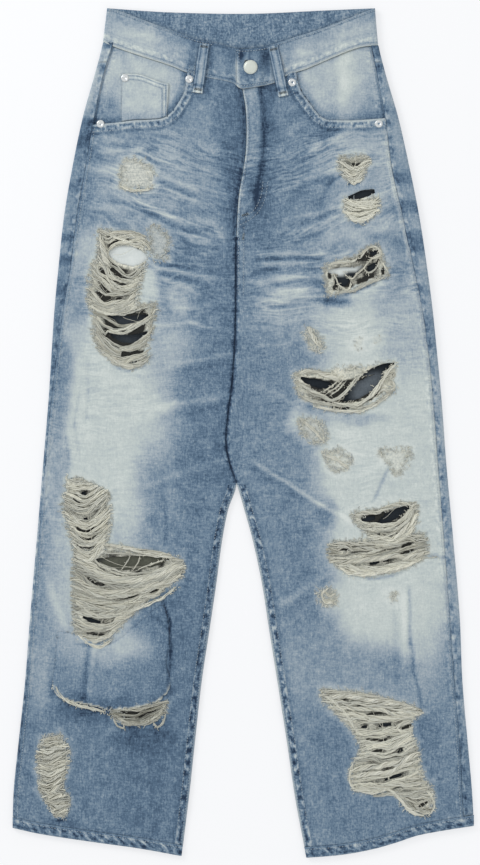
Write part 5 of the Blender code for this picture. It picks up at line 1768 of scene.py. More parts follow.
class JEANS_OT_hems(Step, bpy.types.Operator):
    """Turn up the two hems, roped by the wash"""

    bl_idname = "jeans.hems"
    bl_label = "Hems"

    def make(self, cloth):
        for side in SIDE_NAMES:
            x, y, z, wash, reach = self.ring(side)
            cloth_piece("hem_turned_" + side, (x, y, z), {
                "wash": wash / 255, "near_hem": near(reach), "along": x + 0.9 * reach,
            }, 1.7, "hem_" + side, "hem_denim", closed=True, probe=slice(12, 60))

    def ring(self, side):
        """Round the side, over the front, round the inner edge and back under."""
        radius = HEM_TOP / 2
        arc, flat = 9, 76
        rows = 9
        reach = np.linspace(HEM_DEPTH, 0, rows)[:, None] * np.ones((1, 2 * (arc + flat)))
        outer = side_edge(side, -480.0) - sign(side) * radius
        inner = inner_edge(side, -508.0 + reach) + sign(side) * radius
        turn = np.linspace(-math.pi / 2, math.pi / 2, arc + 1)[:-1]
        x, z = np.zeros(reach.shape), np.zeros(reach.shape)
        share = np.linspace(0, 1, flat + 1)[:-1]
        x[:, :arc] = outer + sign(side) * radius * np.cos(turn)
        z[:, :arc] = radius * (1 + np.sin(turn))
        x[:, arc:arc + flat] = mix(outer, inner[:, :1], share)
        z[:, arc:arc + flat] = HEM_TOP
        x[:, arc + flat:2 * arc + flat] = inner[:, :1] - sign(side) * radius * np.cos(turn)
        z[:, arc + flat:2 * arc + flat] = radius * (1 - np.sin(turn))
        x[:, 2 * arc + flat:] = mix(outer, inner[:, :1], 1 - share)
        foot = hem_foot(side, x)
        rope = np.sin(math.tau * (x + 0.9 * reach + 3 * noise(x, reach, 14, 81)) / 11.5)
        body = eased(0, 2, reach) * eased(HEM_DEPTH, 9, reach)
        on_top = (z > radius * 1.4)
        z = z + on_top * (0.22 * rope * body - 0.5 * eased(2.2, 0, reach))
        wash = 118 + 30 * rope * body + 8 * noise(x, reach, 5, 82) + 18 * eased(1.4, 0, reach) * rope
        return x, foot + reach, z, wash, reach


def band_stations():
    """Stations of the waistband's outer face, from the under end round to the over end."""
    radius = (HIP_TOP - HIP_LIFT) / 2
    middle = HIP_LIFT + radius
    right, left = SIDES[0].right, SIDES[0].left
    bend = [(radius * math.sin(a), radius * math.cos(a)) for a in np.linspace(0, math.pi, 10)[1:-1]]
    under = np.linspace(UNDER_END, right + radius, 72)
    over = np.linspace(left - radius, OVER_END, 72)
    return (
        [("front", x, HIP_TOP) for x in under]
        + [("right", right + radius - out, middle + rise) for out, rise in bend]
        + [("back", x, HIP_LIFT) for x in np.linspace(right + radius, left - radius, 90)]
        + [("left", left - radius + out, middle - rise) for out, rise in bend]
        + [("front", x, HIP_TOP + OVER_RISE * float(eased(28, 19, x))) for x in over])


def band_lines(stations):
    """Top and foot points of the waistband's outer face at each station."""
    top, foot = [], []
    for where, x, z in stations:
        top.append((x, float(read(BACK_TOP if where == "back" else BAND_TOP, "x", "y", x)), z))
        flared = x * (FLARE_RIGHT if x < 0 else FLARE_LEFT)
        line = float(band_foot(flared)) if where == "front" else float(back_foot(flared))
        foot.append((flared, line, z))
    return np.array(top), np.array(foot)


def buttonhole(x, y):
    """Distance outside the keyhole: an eye with a slit up towards the band's end."""
    lean = math.radians(128)
    end = (BUTTON[0] + 13 * math.cos(lean), BUTTON[1] + 13 * math.sin(lean))
    slit, _along = line_distance([BUTTON, end], x, y)
    return np.minimum(np.hypot(x - BUTTON[0], y - BUTTON[1]) - 3.3, slit - 0.6)


class JEANS_OT_waistband(Step, bpy.types.Operator):
    """Wrap the waistband, its over end buttoned across the fly"""

    bl_idname = "jeans.waistband"
    bl_label = "Waistband"

    def make(self, cloth):
        stations = band_stations()
        top, foot = band_lines(stations)
        down = np.linspace(0, 1, 18)[:, None]
        x, y, z = (mix(top[:, axis][None], foot[:, axis][None], down) for axis in range(3))
        over = np.arange(len(stations)) >= len(stations) - 30
        gap = np.where(over[None] & (z > HIP_TOP + 1), buttonhole(x, y), 9.0)
        depth = down * (top[:, 1] - foot[:, 1])[None]
        from_foot = (1 - down) * (top[:, 1] - foot[:, 1])[None]
        front = np.array([where != "back" for where, _x, _z in stations], float)[None]
        seams = bell(depth - 2.4, 1.0) + bell(from_foot - 2.6, 1.0)
        ripple = 0.16 * noise(x, y, 16, 91) + 0.1 * noise(x, y, 6, 92)
        relief = ripple - 0.22 * seams + 0.25 * eased(6, 3, from_foot) * (1 + pucker(x, 5.0, 93)) * 0.5
        z = z + front * relief - (1 - front) * np.abs(ripple)
        wash = mix(read(BAND_LEVELS, "y", "level", x), 132.0, 1 - front) + 8 * noise(x, y, 14, 94)
        wash = wash + 5 * noise(x, y, 5, 95)
        # The marks paint shadow beside the loops and round the button onto the front of the band
        for mark in BAND_MARKS:
            wash = wash + front * mark.tone * bell(x - mark.x, mark.width, y - mark.y, mark.height)
        wash = wash - front * 20 * eased(18, 8, depth)
        cloth_piece("waistband_shell", (x, y, z), {
            "wash": wash / 255, "near_band_foot": near(from_foot), "near_band_top": near(depth), "along": x,
        }, 2.1, "waistband", "band_denim", "band_inside", keep=gap > 0, probe=slice(0, 40))


def flat_sheet(left_edge, right_edge, top, foot, level, size):
    """Grid of a piece that lies level: its edges are functions of y, its ends of x."""
    columns, rows = size
    across, down = np.meshgrid(np.linspace(0, 1, columns), np.linspace(0, 1, rows))
    middle = mix(top(np.array(left_edge(400.0))), foot(np.array(left_edge(400.0))), down)
    for _ in range(3):
        x = mix(left_edge(middle), right_edge(middle), across)
        middle = mix(top(x), foot(x), down)
    return x, middle, np.full(x.shape, float(level))


def coin_top(x):
    """The coin pocket's mouth."""
    return mix(431.0, 419.0, eased(-132, -88, x))


class JEANS_OT_pockets(Step, bpy.types.Operator):
    """Make the facings, the coin pocket, the pocket bags and the patch pockets on the seat"""

    bl_idname = "jeans.pockets"
    bl_label = "Pockets"

    def make(self, cloth):
        for side in SIDE_NAMES:
            self.facing(side)
            self.bag(side)
            self.patch(side)
        self.coin()

    def facing(self, side):
        x, y, z = flat_sheet(
            lambda v: outseam(side, v) + sign(side) * 2.5, lambda v: sign(side) * 58.0 + 0 * v,
            lambda v: band_foot(v) - SEAM, lambda v: 352.0 + 0 * v, HIP_TOP - DENIM - SEAM, (50, 44))
        mouth = -mouth_distance(side, x, y)
        from_side = np.abs(x - outseam(side, y))
        wash = 184 + 10 * noise(x, y, 22, 101) + 7 * noise(x, y, 8, 102)
        # painted shade along the pocket mouth and under the waistband
        wash = wash - (50 if side == "right" else 34) * eased(11, 2, mouth)
        wash = wash - 16 * eased(9, 0, band_foot(x) - SEAM - y)
        wash = wash - 10 * eased(34, 10, from_side) - 22 * eased(412, 384, y)
        if side == "left":
            wash = wash + 18 * bell(x - 122, 8) - 14 * eased(130, 150, x) * eased(440, 400, y)
            wash = wash - 10 * bell(x - 108, 5)
        else:
            wash = wash - 18 * eased(-94, -74, x) - 18 * eased(-146, -160, x) * eased(430, 400, y)
            wash = wash + 16 * bell(x + 128 + 0.5 * (y - 440), 6) * eased(428, 436, y)
        z = z + 0.12 * noise(x, y, 24, 103) - 0.1
        cloth_piece("pocket_inset_" + side, (x, y, z), {
            "wash": wash / 255, "near_side": near(from_side), "along": y,
        }, DENIM - 0.1, "pocket_facing_" + side, "facing_denim", slot="faded_denim")

    def bag(self, side):
        x, y, z = flat_sheet(
            lambda v: side_edge(side, v) - sign(side) * mix(52, 30, eased(150, 400, v)),
            lambda v: sign(side) * mix(92, 72, eased(150, 400, v)), lambda v: band_foot(v) - SEAM,
            lambda v: (172.0 if side == "left" else 158.0) + 0 * v,
            HIP_LIFT + DENIM + SEAM + LINING, (26, 60))
        z = z + 0.25 * noise(x, y, 18, 104)
        # Painted shade on the left bag, except where its white cloth shows through the thigh rip
        strip_foot = 189 + 0.006 * (x - 103) ** 2
        shade = np.maximum(eased(1, -1, y - strip_foot), eased(272, 276, y) * eased(298, 294, y))
        shade = np.maximum(shade, eased(144, 147, x) * eased(235, 228, y)) * (side == "left")
        cloth_piece("pocket_lining_" + side, (x, y, z), {"shade": shade}, LINING - 0.1, "pocket_bag_" + side,
                    "pocket_drill", slot="pocket_cotton")

    def coin(self):
        x, y, z = flat_sheet(
            lambda v: mix(-146.0, -145.0, eased(375, 430, v)),
            lambda v: mix(-92.0, -89.5, eased(375, 420, v)),
            coin_top, lambda v: read(RIGHT_MOUTH, "x", "y", v) + 0.8, HIP_TOP - SEAM, (34, 34))
        from_top = coin_top(x) - y
        from_side = -90.5 - x
        # painted shade towards the pocket mouth at its foot; darker too towards its inner end
        wash = 186 + 8 * noise(x, y, 9, 105) - 24 * eased(10, 0, y - 378) - 14 * eased(-104, -94, x)
        z = z + 0.2 * eased(9, 7, from_top) - 0.1 * bell(from_top - 4.6, 1.2)
        cloth_piece("coin_pocket_patch", (x, y, z), {
            "wash": wash / 255, "near_coin": near(np.minimum(from_top, from_side)),
            "along": np.where(from_top < from_side, x, y),
        }, 0.8, "coin_pocket", "facing_denim", slot="faded_denim")

    def patch(self, side):
        """A patch pocket: five-sided, a hem across its top."""
        share, down = np.meshgrid(np.linspace(-1, 1, 30), np.linspace(0, 1, 32))
        half = mix(70.0, 62.0, down)
        x = sign(side) * 104 + share * half
        y = mix(384.0, 242.0 - 12.0 * (1 - np.abs(share)), down)
        edge = np.minimum((1 - np.abs(share)) * half, (1 - down) * 142)
        z = 0.1 + 0.12 * np.abs(noise(x, y, 18, 107)) + 0.1 * eased(8, 3, edge)
        wash = 142 + 24 * eased(40, 10, np.hypot(x - sign(side) * 104, y - 316)) + 6 * noise(x, y, 12, 108)
        wash = wash - 16 * bell(down * 142 - 20, 2.0)
        cloth_piece("seat_pocket_" + side, (x, y, z), {
            "wash": wash / 255, "near_mouth": near(np.minimum(edge, down * 142)), "along": x + y,
        }, DENIM - 0.15, "back_pocket_" + side, "worn_denim", facing=-1)


class JEANS_OT_knee_patch(Step, bpy.types.Operator):
    """Set the patch over the right knee, frayed along its foot"""

    bl_idname = "jeans.knee_patch"
    bl_label = "Knee patch"

    def make(self, cloth):
        cell = 2.2
        x, y = np.meshgrid(np.arange(-240, -78, cell), np.arange(-196, -345, -cell))
        outline = [tuple(p) for p in smooth_path([(p.x, p.y) for p in PATCH_EDGE + PATCH_EDGE[:1]], 4.0)][:-1]

        def distance(px, py):
            foot = eased(-290, -310, py)
            return inside_distance(outline, px, py) + foot * 1.3 * noise(px, py, 3.2, 111)

        x, y, keep = snapped(x, y, distance, cell)
        edge = distance(x, y)
        lift = SEAM + PATCH_THICK * eased(-0.5, 2.5, edge) + 0.4 * noise(x, y, 20, 112) * eased(4, 12, edge)
        z = front_surface("right", x, y, bare=False) + lift + 0.5 * eased(4, 0, edge) * eased(-285, -315, y)
        foot = eased(-296, -318, y)
        wash = faded("right", x, y) + crease_shade("right", x, y) + 22 * eased(3.2, 0.6, edge) * foot
        # painted shade along the patch's folded sides
        wash = wash - 14 * eased(2.5, 0.5, edge) * (1 - foot) + 4 * noise(x, y, 8, 113)
        wash = wash + 10 * eased(-60, -130, x) - 4
        bare = eased(2.6, 0.2, edge + 1.2 * noise(x, y, 2.6, 114)) * foot
        cloth_piece("knee_patch_cloth", (x, y, z), {"wash": wash / 255, "bare": bare, "strand": y},
                    PATCH_THICK, "knee_patch", "worn_denim", keep=keep)


Loop = namedtuple("Loop", "name x0 y0 x1 y1 front")
LOOPS = rows(
    Loop,
    ("front_right", -46.5, 467, -54.9, 408, True), ("front_left", 35.6, 464, 48.3, 404, True),
    ("back_right", -112, 505, -114, 452, False), ("back_centre", 0, 502, 0, 448, False),
    ("back_left", 112, 506, 114, 452, False))
LOOP_WIDTH = 13.0
LOOP_WALL = 1.3


def loop_place(loop, along, across):
    """A point of a belt loop, by its share along it and millimetres across; z is its outer face."""
    dx, dy = loop.x1 - loop.x0, loop.y1 - loop.y0
    length = math.hypot(dx, dy)
    x = loop.x0 + dx * along + dy / length * across
    y = loop.y0 + dy * along - dx / length * across
    if not loop.front:
        return x, y, np.full(np.shape(x), 0.15)
    keys = np.linspace(0, 1, 9)
    rise = smooth_line(keys, np.array([0, 0, 0.9, 1.3, 1.3, 1.1, 0.6, 0, 0], float), along)
    return x, y, HIP_TOP + SEAM + rise + LOOP_WALL


class JEANS_OT_belt_loops(Step, bpy.types.Operator):
    """Sew the five belt loops over the waistband"""

    bl_idname = "jeans.belt_loops"
    bl_label = "Belt loops"

    def make(self, cloth):
        for number, loop in enumerate(LOOPS):
            across, along = np.meshgrid(np.linspace(-0.5, 0.5, 17) * LOOP_WIDTH, np.linspace(0, 1, 60))
            x, y, z = loop_place(loop, along, across)
            edge = LOOP_WIDTH / 2 - np.abs(across)
            away = np.abs(across)
            ridge = 0.25 * eased(3, 0, away) - 0.6 * eased(1.6, 0, edge) + 0.08 * noise(x, y, 5, 121)
            z = z + ridge * (1 if loop.front else -0.2)
            # painted light and shade of the loop's folds: paler down its middle and below its fold, darker along the
            # turned edges and in the fold
            wash = 140 + 22 * eased(3.0, 0.8, away) - 36 * bell(away - 3.6, 0.8)
            wash = wash - 56 * eased(1.6, 0.2, edge) + 26 * bell(edge - 1.7, 0.6)
            wash = wash + 7 * noise(x, y, 5, 122 + number) + 12 * noise(x, y, 12, 128 + number)
            wash = wash - 52 * bell(along - 0.85, 0.03) + 46 * eased(0.88, 0.96, along)
            cloth_piece("belt_loop_" + loop.name + "_cloth", (x, y, z), {"wash": wash / 255}, LOOP_WALL - 0.2,
                        "belt_loop_" + loop.name, "worn_denim", facing=1 if loop.front else -1)


def lathed(name, profile, centre, material, node, segments):
    """A round piece from (radius, height) pairs, outer face first from the top down."""
    turn = np.linspace(0, math.tau, segments + 1)[:-1]
    radius = np.array([max(r, 0.02) for r, _z in profile])[:, None]
    height = np.array([z for _r, z in profile])[:, None]
    x = centre[0] + radius * np.cos(turn)[None]
    y = centre[1] + radius * np.sin(turn)[None]
    z = height + 0 * x
    mesh = cloth_mesh(name, x, y, z, {"tone": 1.0}, closed=True)
    caps = [list(range(segments)), list(range(len(mesh.vertices) - segments, len(mesh.vertices)))]
    close_ends(mesh, caps)
    stand_in_for(add_piece(name, mesh, [material]), "pale_metal", node)


def close_ends(mesh, rings):
    """Close the small rings at a turned piece's two poles, then point every face outwards."""
    shape = bmesh.new()
    shape.from_mesh(mesh)
    shape.verts.ensure_lookup_table()
    for ring in rings:
        shape.faces.new([shape.verts[i] for i in ring])
    bmesh.ops.recalc_face_normals(shape, faces=shape.faces)
    for face in shape.faces:
        face.smooth = True
    shape.to_mesh(mesh)
    shape.free()


RIVETS = {
    "rivet_right_mouth": (-64.8, 424.5, HIP_TOP),
    "rivet_coin": (-142.0, 426.0, HIP_TOP - SEAM),
    "rivet_right_side": (-171.3, 370.8, HIP_TOP),
    "rivet_left_mouth": (58.6, 420.5, HIP_TOP),
    "rivet_left_side": (162.6, 371.0, HIP_TOP),
}


class JEANS_OT_hardware(Step, bpy.types.Operator):
    """Set the button and the rivets, and finish the zip"""

    bl_idname = "jeans.hardware"
    bl_label = "Button, rivets and zip"

    def make(self, cloth):
        cap = HIP_TOP + OVER_RISE + SEAM
        bend = np.linspace(0, math.pi / 2, 9)
        dome = [((BUTTON_RADIUS - 0.9) * math.sin(a), cap + 1.0 + 1.6 * math.cos(a)) for a in bend]
        rim = [(BUTTON_RADIUS - inset, cap + rise) for inset, rise in ((0.5, 1.15), (0, 0.7), (0.3, 0.1))]
        shank = [(BUTTON_RADIUS - 1.4, cap), (2.9, cap), (2.9, HIP_TOP + SEAM), (0, HIP_TOP + SEAM)]
        lathed("fly_button", dome + rim + shank, BUTTON, "cream_button", "button", 48)
        for name, (x, y, level) in RIVETS.items():
            foot = level + SEAM
            profile = [
                (0, foot + 0.15), (1.3, foot + 0.2), (1.9, foot + 0.7), (2.6, foot + 1.2), (3.5, foot + 1.25),
                (4.2, foot + 0.95), (RIVET_RADIUS, foot + 0.35), (RIVET_RADIUS - 0.1, foot), (0, foot)]
            lathed(name + "_ring", profile, (x, y), "pale_rivet", name, 28)
        zip_node = bpy.data.objects["zip"]
        zip_node.data.materials.clear()
        zip_node.data.materials.append(finished("zip_finish"))


def parted(side, x, y, room=0.0):
    """Move a thread aside from each hole and slit that it would cross, all of it to one side."""
    for hole in on(side, HOLES + SLITS):
        along, across, half = hole_place(hole, x, y)
        reach = 1.5 * hole.height + 4 + room
        near_hole = (np.abs(along) < 1) & (np.abs(across) < reach)
        if near_hole.any():
            way = 1 if across[near_hole].mean() > 0 else -1
            away = np.clip(way * across, 0, None)
            clear = half + room * np.clip(half, 0, 1)
            shift = np.where(near_hole, way * (clear + away * (1 - clear / reach)) - across, 0)
            tilt = math.radians(hole.tilt)
            x, y = x - shift * math.sin(tilt), y + shift * math.cos(tilt)
    return x, y


def cords_down(rip, share, rng):
    """The place of every cord down a rip at each share across it, and the cord's width; some stand apart."""
    count = max(2, round(tallness(rip) / rip.pitch))
    wide = rip.pitch * rng.uniform(0.45, 1.05, count)
    down, places = np.zeros(share.shape), []
    ends = eased(0.0, 0.2, share) * eased(1.0, 0.8, share)
    for cord in range(count):
        middle, reach = rng.uniform(0.25, 0.75), rng.uniform(0.12, 0.3)
        apart = rip.dark * rip.pitch * max(0.0, rng.normal(0.55, 0.9))
        down = down + apart * ends * bell(share - middle, reach)
        places.append(down + wide[cord] / 2)
        down = down + wide[cord]
    return [place / down for place in places], wide * tallness(rip) / down.max()


def rope(threads, x, y, width, strands, tone, rng, lift=0.3, thin=None):
    """A loosely twisted cord of several strands along a run."""
    ahead = np.stack([np.gradient(x), np.gradient(y)])
    ahead = ahead / np.maximum(np.hypot(*ahead), 1e-6)
    run = np.concatenate([[0], np.cumsum(np.hypot(np.diff(x), np.diff(y)))])
    turn = math.tau / rng.uniform(20, 50) * rng.choice([-1, 1])
    thin = np.ones(len(x)) if thin is None else thin
    for strand in range(strands):
        phase = turn * run + math.tau * (strand + rng.uniform(-0.3, 0.3)) / strands
        out = width * thin * (0.36 * np.sin(phase) + 0.14 * noise(run, 0 * run + rng.uniform(0, 90), 7, 133))
        radius = width * 0.56 * rng.uniform(0.85, 1.15) / math.sqrt(strands)
        kept = slice(rng.integers(0, 3), len(x) - rng.integers(0, 3))
        threads.add((x - out * ahead[1])[kept], (y + out * ahead[0])[kept],
                    (lift + width * 0.17 * (1 + np.cos(phase)))[kept], (radius * thin)[kept],
                    float(np.clip(tone + rng.normal(0, 0.12), 0.05, 1)), rng.uniform(0, 0.22))


def ladder_threads(rip, threads, radius, rng):
    """The weft threads that still cross a rip, drawn together in cords."""
    if not rip.pitch:
        return
    width = max(abs(rung.right_x - rung.left_x) for rung in rip.rungs)
    share = np.linspace(-4.0 / width, 1 + 4.0 / width, max(8, int(width / 3.2)))
    run = share * width
    ends = eased(-0.02, 0.14, share) * eased(1.02, 0.86, share)
    places, widths = cords_down(rip, share, rng)
    for number, (t, wide) in enumerate(zip(places, widths)):
        drift = 0.9 * noise(run, 0 * run + 7.3 * number, 14, 131)
        drift += 0.4 * noise(run, 0 * run + 3.1 * number, 6, 132)
        x, y = thread_place(rip, np.clip(t + drift / tallness(rip), 0, 1), share)
        x, y = parted(rip.side, x, y, wide * 0.35)
        tone = float(np.clip(rng.normal(rip.tone, 0.12), 0.15, 1.0))
        strands = int(np.clip(round(wide / radius / 1.5), 2, 6))
        rope(threads, x, y, wide * rng.uniform(0.9, 1.15), strands, tone, rng, thin=mix(0.75, 1.0, ends))
    for _ in range(round(len(places) * 0.5)):
        stray_thread(rip, threads, radius * 0.45, rng)


def stray_thread(rip, threads, radius, rng):
    """One thin thread that lies across the others."""
    t = rng.uniform(0.05, 0.95, 2)
    t[1] = np.clip(t[0] + rng.normal(0, 0.2), 0, 1)
    share = np.sort(rng.uniform(0.02, 0.98, 2))
    steps = np.linspace(0, 1, 11)
    x, y = thread_place(rip, mix(t[0], t[1], steps), mix(share[0], share[1], steps))
    y = y + rng.normal(0, 2.0) * np.sin(math.pi * steps * rng.uniform(1, 3))
    lift = rng.uniform(0.6, 1.5) + 0 * x
    threads.add(x, y, lift, radius, float(np.clip(rip.tone + rng.normal(0, 0.15), 0.1, 1)))


def curl(threads, x, y, heading, length, radius, tone, dye, rng, turn=0.75):
    """One short frayed end that wanders and curls on the cloth."""
    steps = max(3, int(length / 1.5))
    turns = heading + np.cumsum(rng.normal(rng.normal(0, 0.25), turn, steps))
    xs = x + np.concatenate([[0], np.cumsum(np.cos(turns))]) * length / steps
    ys = y + np.concatenate([[0], np.cumsum(np.sin(turns))]) * length / steps
    lift = radius + rng.uniform(0.1, 0.9) * np.linspace(0.4, 1, steps + 1)
    threads.add(xs, ys, lift, radius * np.linspace(1.1, 0.7, steps + 1), tone, dye)


def lint(rip, threads, x, y, size, rng, blue=0.0):
    """One short fuzzy end of thread, beside the holes."""
    if hole_distance(HOLES + SLITS, rip.side, x, y) > 0.8:
        curl(threads, x, y, rng.uniform(0, math.tau), rng.uniform(1.5, size), rng.uniform(0.28, 0.6),
             float(np.clip(rng.normal(0.3 + 0.7 * rip.tone, 0.14), 0.05, 1)),
             rng.uniform(0.1, 0.45) + 0.4 * (rng.uniform() < blue), rng)


def fray(rip, threads, rng):
    """Frayed ends along a rip's edge, mats of lint at its sides, and the roll along its foot."""
    outline = OUTLINES[rip.name]
    for (ax, ay), (bx, by) in zip(outline, outline[1:] + outline[:1]):
        length = math.hypot(bx - ax, by - ay)
        outward = math.atan2(by - ay, bx - ax) - math.pi / 2
        for _ in range(rng.poisson(length * 0.8 * rip.fringe)):
            share, out = rng.uniform(), rng.normal(-0.6, 2.0)
            x = mix(ax, bx, share) + out * math.cos(outward)
            y = mix(ay, by, share) + out * math.sin(outward)
            lint(rip, threads, x, y, 5.5, rng, 0.18)
    for _ in range(rng.poisson(tallness(rip) * rip.fringe * (1.5 if rip.pitch else 0.5))):
        x, y = thread_place(rip, rng.uniform(0, 1), rng.choice([rng.uniform(0, 0.2), rng.uniform(0.8, 1)]))
        lint(rip, threads, x, y, 5.0, rng)
    if rip.pitch:
        share = np.linspace(-0.01, 1.01, 26)
        for _ in range(2):
            x, y = thread_place(rip, np.ones(26), share)
            run = share * 60 + rng.uniform(0, 60)
            y = y + 1.4 * noise(run, 0 * run, 9, 134) + rng.normal(-0.2, 0.9)
            rope(threads, x, y, rng.uniform(2.2, 3.2), 3, min(1.0, rip.tone + 0.08), rng)


def rolled(roll, threads, rng):
    """A thick roll of fringe and thread along a run of points."""
    path = np.array(smooth_path(roll.points, 2.6))
    x, y = path[:, 0], path[:, 1]
    x = x + 0.7 * noise(x, y, 8, 135)
    y = y + 0.9 * noise(x, y, 7, 136)
    share = np.linspace(0, 1, len(x))
    thin = mix(0.45, 1.0, eased(0, 0.18, share) * eased(1, 0.82, share)) * (1 + 0.3 * noise(x, y, 6, 137))
    rope(threads, x, y, roll.width, max(3, round(roll.width * 1.5)), roll.tone, rng, 0.7, thin)
    for _ in range(round(len(x) * roll.width * 0.7)):
        at = rng.integers(0, len(x))
        out = rng.normal(0, 0.5, 2) * roll.width
        curl(threads, x[at] + out[0], y[at] + out[1], rng.uniform(0, math.tau), rng.uniform(1.5, 4.5),
             rng.uniform(0.28, 0.55), float(np.clip(rng.normal(roll.tone, 0.12), 0, 1)), 0.0, rng)


class JEANS_OT_rips(Step, bpy.types.Operator):
    """String the worn threads across every rip and fray its edges"""

    bl_idname = "jeans.rips"
    bl_label = "Rip threads"

    def make(self, cloth):
        for side in SIDE_NAMES:
            rng = np.random.default_rng(7 if side == "right" else 8)
            loose, frayed = Threads(), Threads()
            for rip in on(side, RIPS):
                ladder_threads(rip, loose, cloth.thread_width / MM, rng)
                fray(rip, frayed, rng)
            for roll in on(side, ROLLS):
                rolled(roll, loose, rng)
            surface = partial(front_surface, side)
            thread_piece("rip_threads_" + side, loose, "weft_thread", cloth.thread_sides, surface)
            thread_piece("rip_fringe_" + side, frayed, "weft_thread", 3, surface)


def offset_run(points, offset):
    """A run moved sideways, to the left of its direction."""
    pts = np.array(points, float)
    ahead = np.gradient(pts, axis=0)
    ahead /= np.linalg.norm(ahead, axis=1)[:, None]
    return pts[:, 0] - offset * ahead[:, 1], pts[:, 1] + offset * ahead[:, 0]


def front_run(side, x, y, lift=0.25):
    return x, y, front_surface(side, x, y, bare=False) + lift


def broken_by_rips(side, x, y, z):
    """Split a run of stitches where it meets a hole or a mouth's opening."""
    clear = (hole_distance(HOLES, side, x, y) > 1) & (mouth_distance(side, x, y) > 0.5)
    clear &= sign(side) * (outseam(side, y) - x) > 1.0
    runs, start = [], None
    for index, good in enumerate(list(clear) + [False]):
        if good and start is None:
            start = index
        if not good and start is not None:
            if index - start > 2:
                runs.append((x[start:index], y[start:index], z[start:index]))
            start = None
    return runs


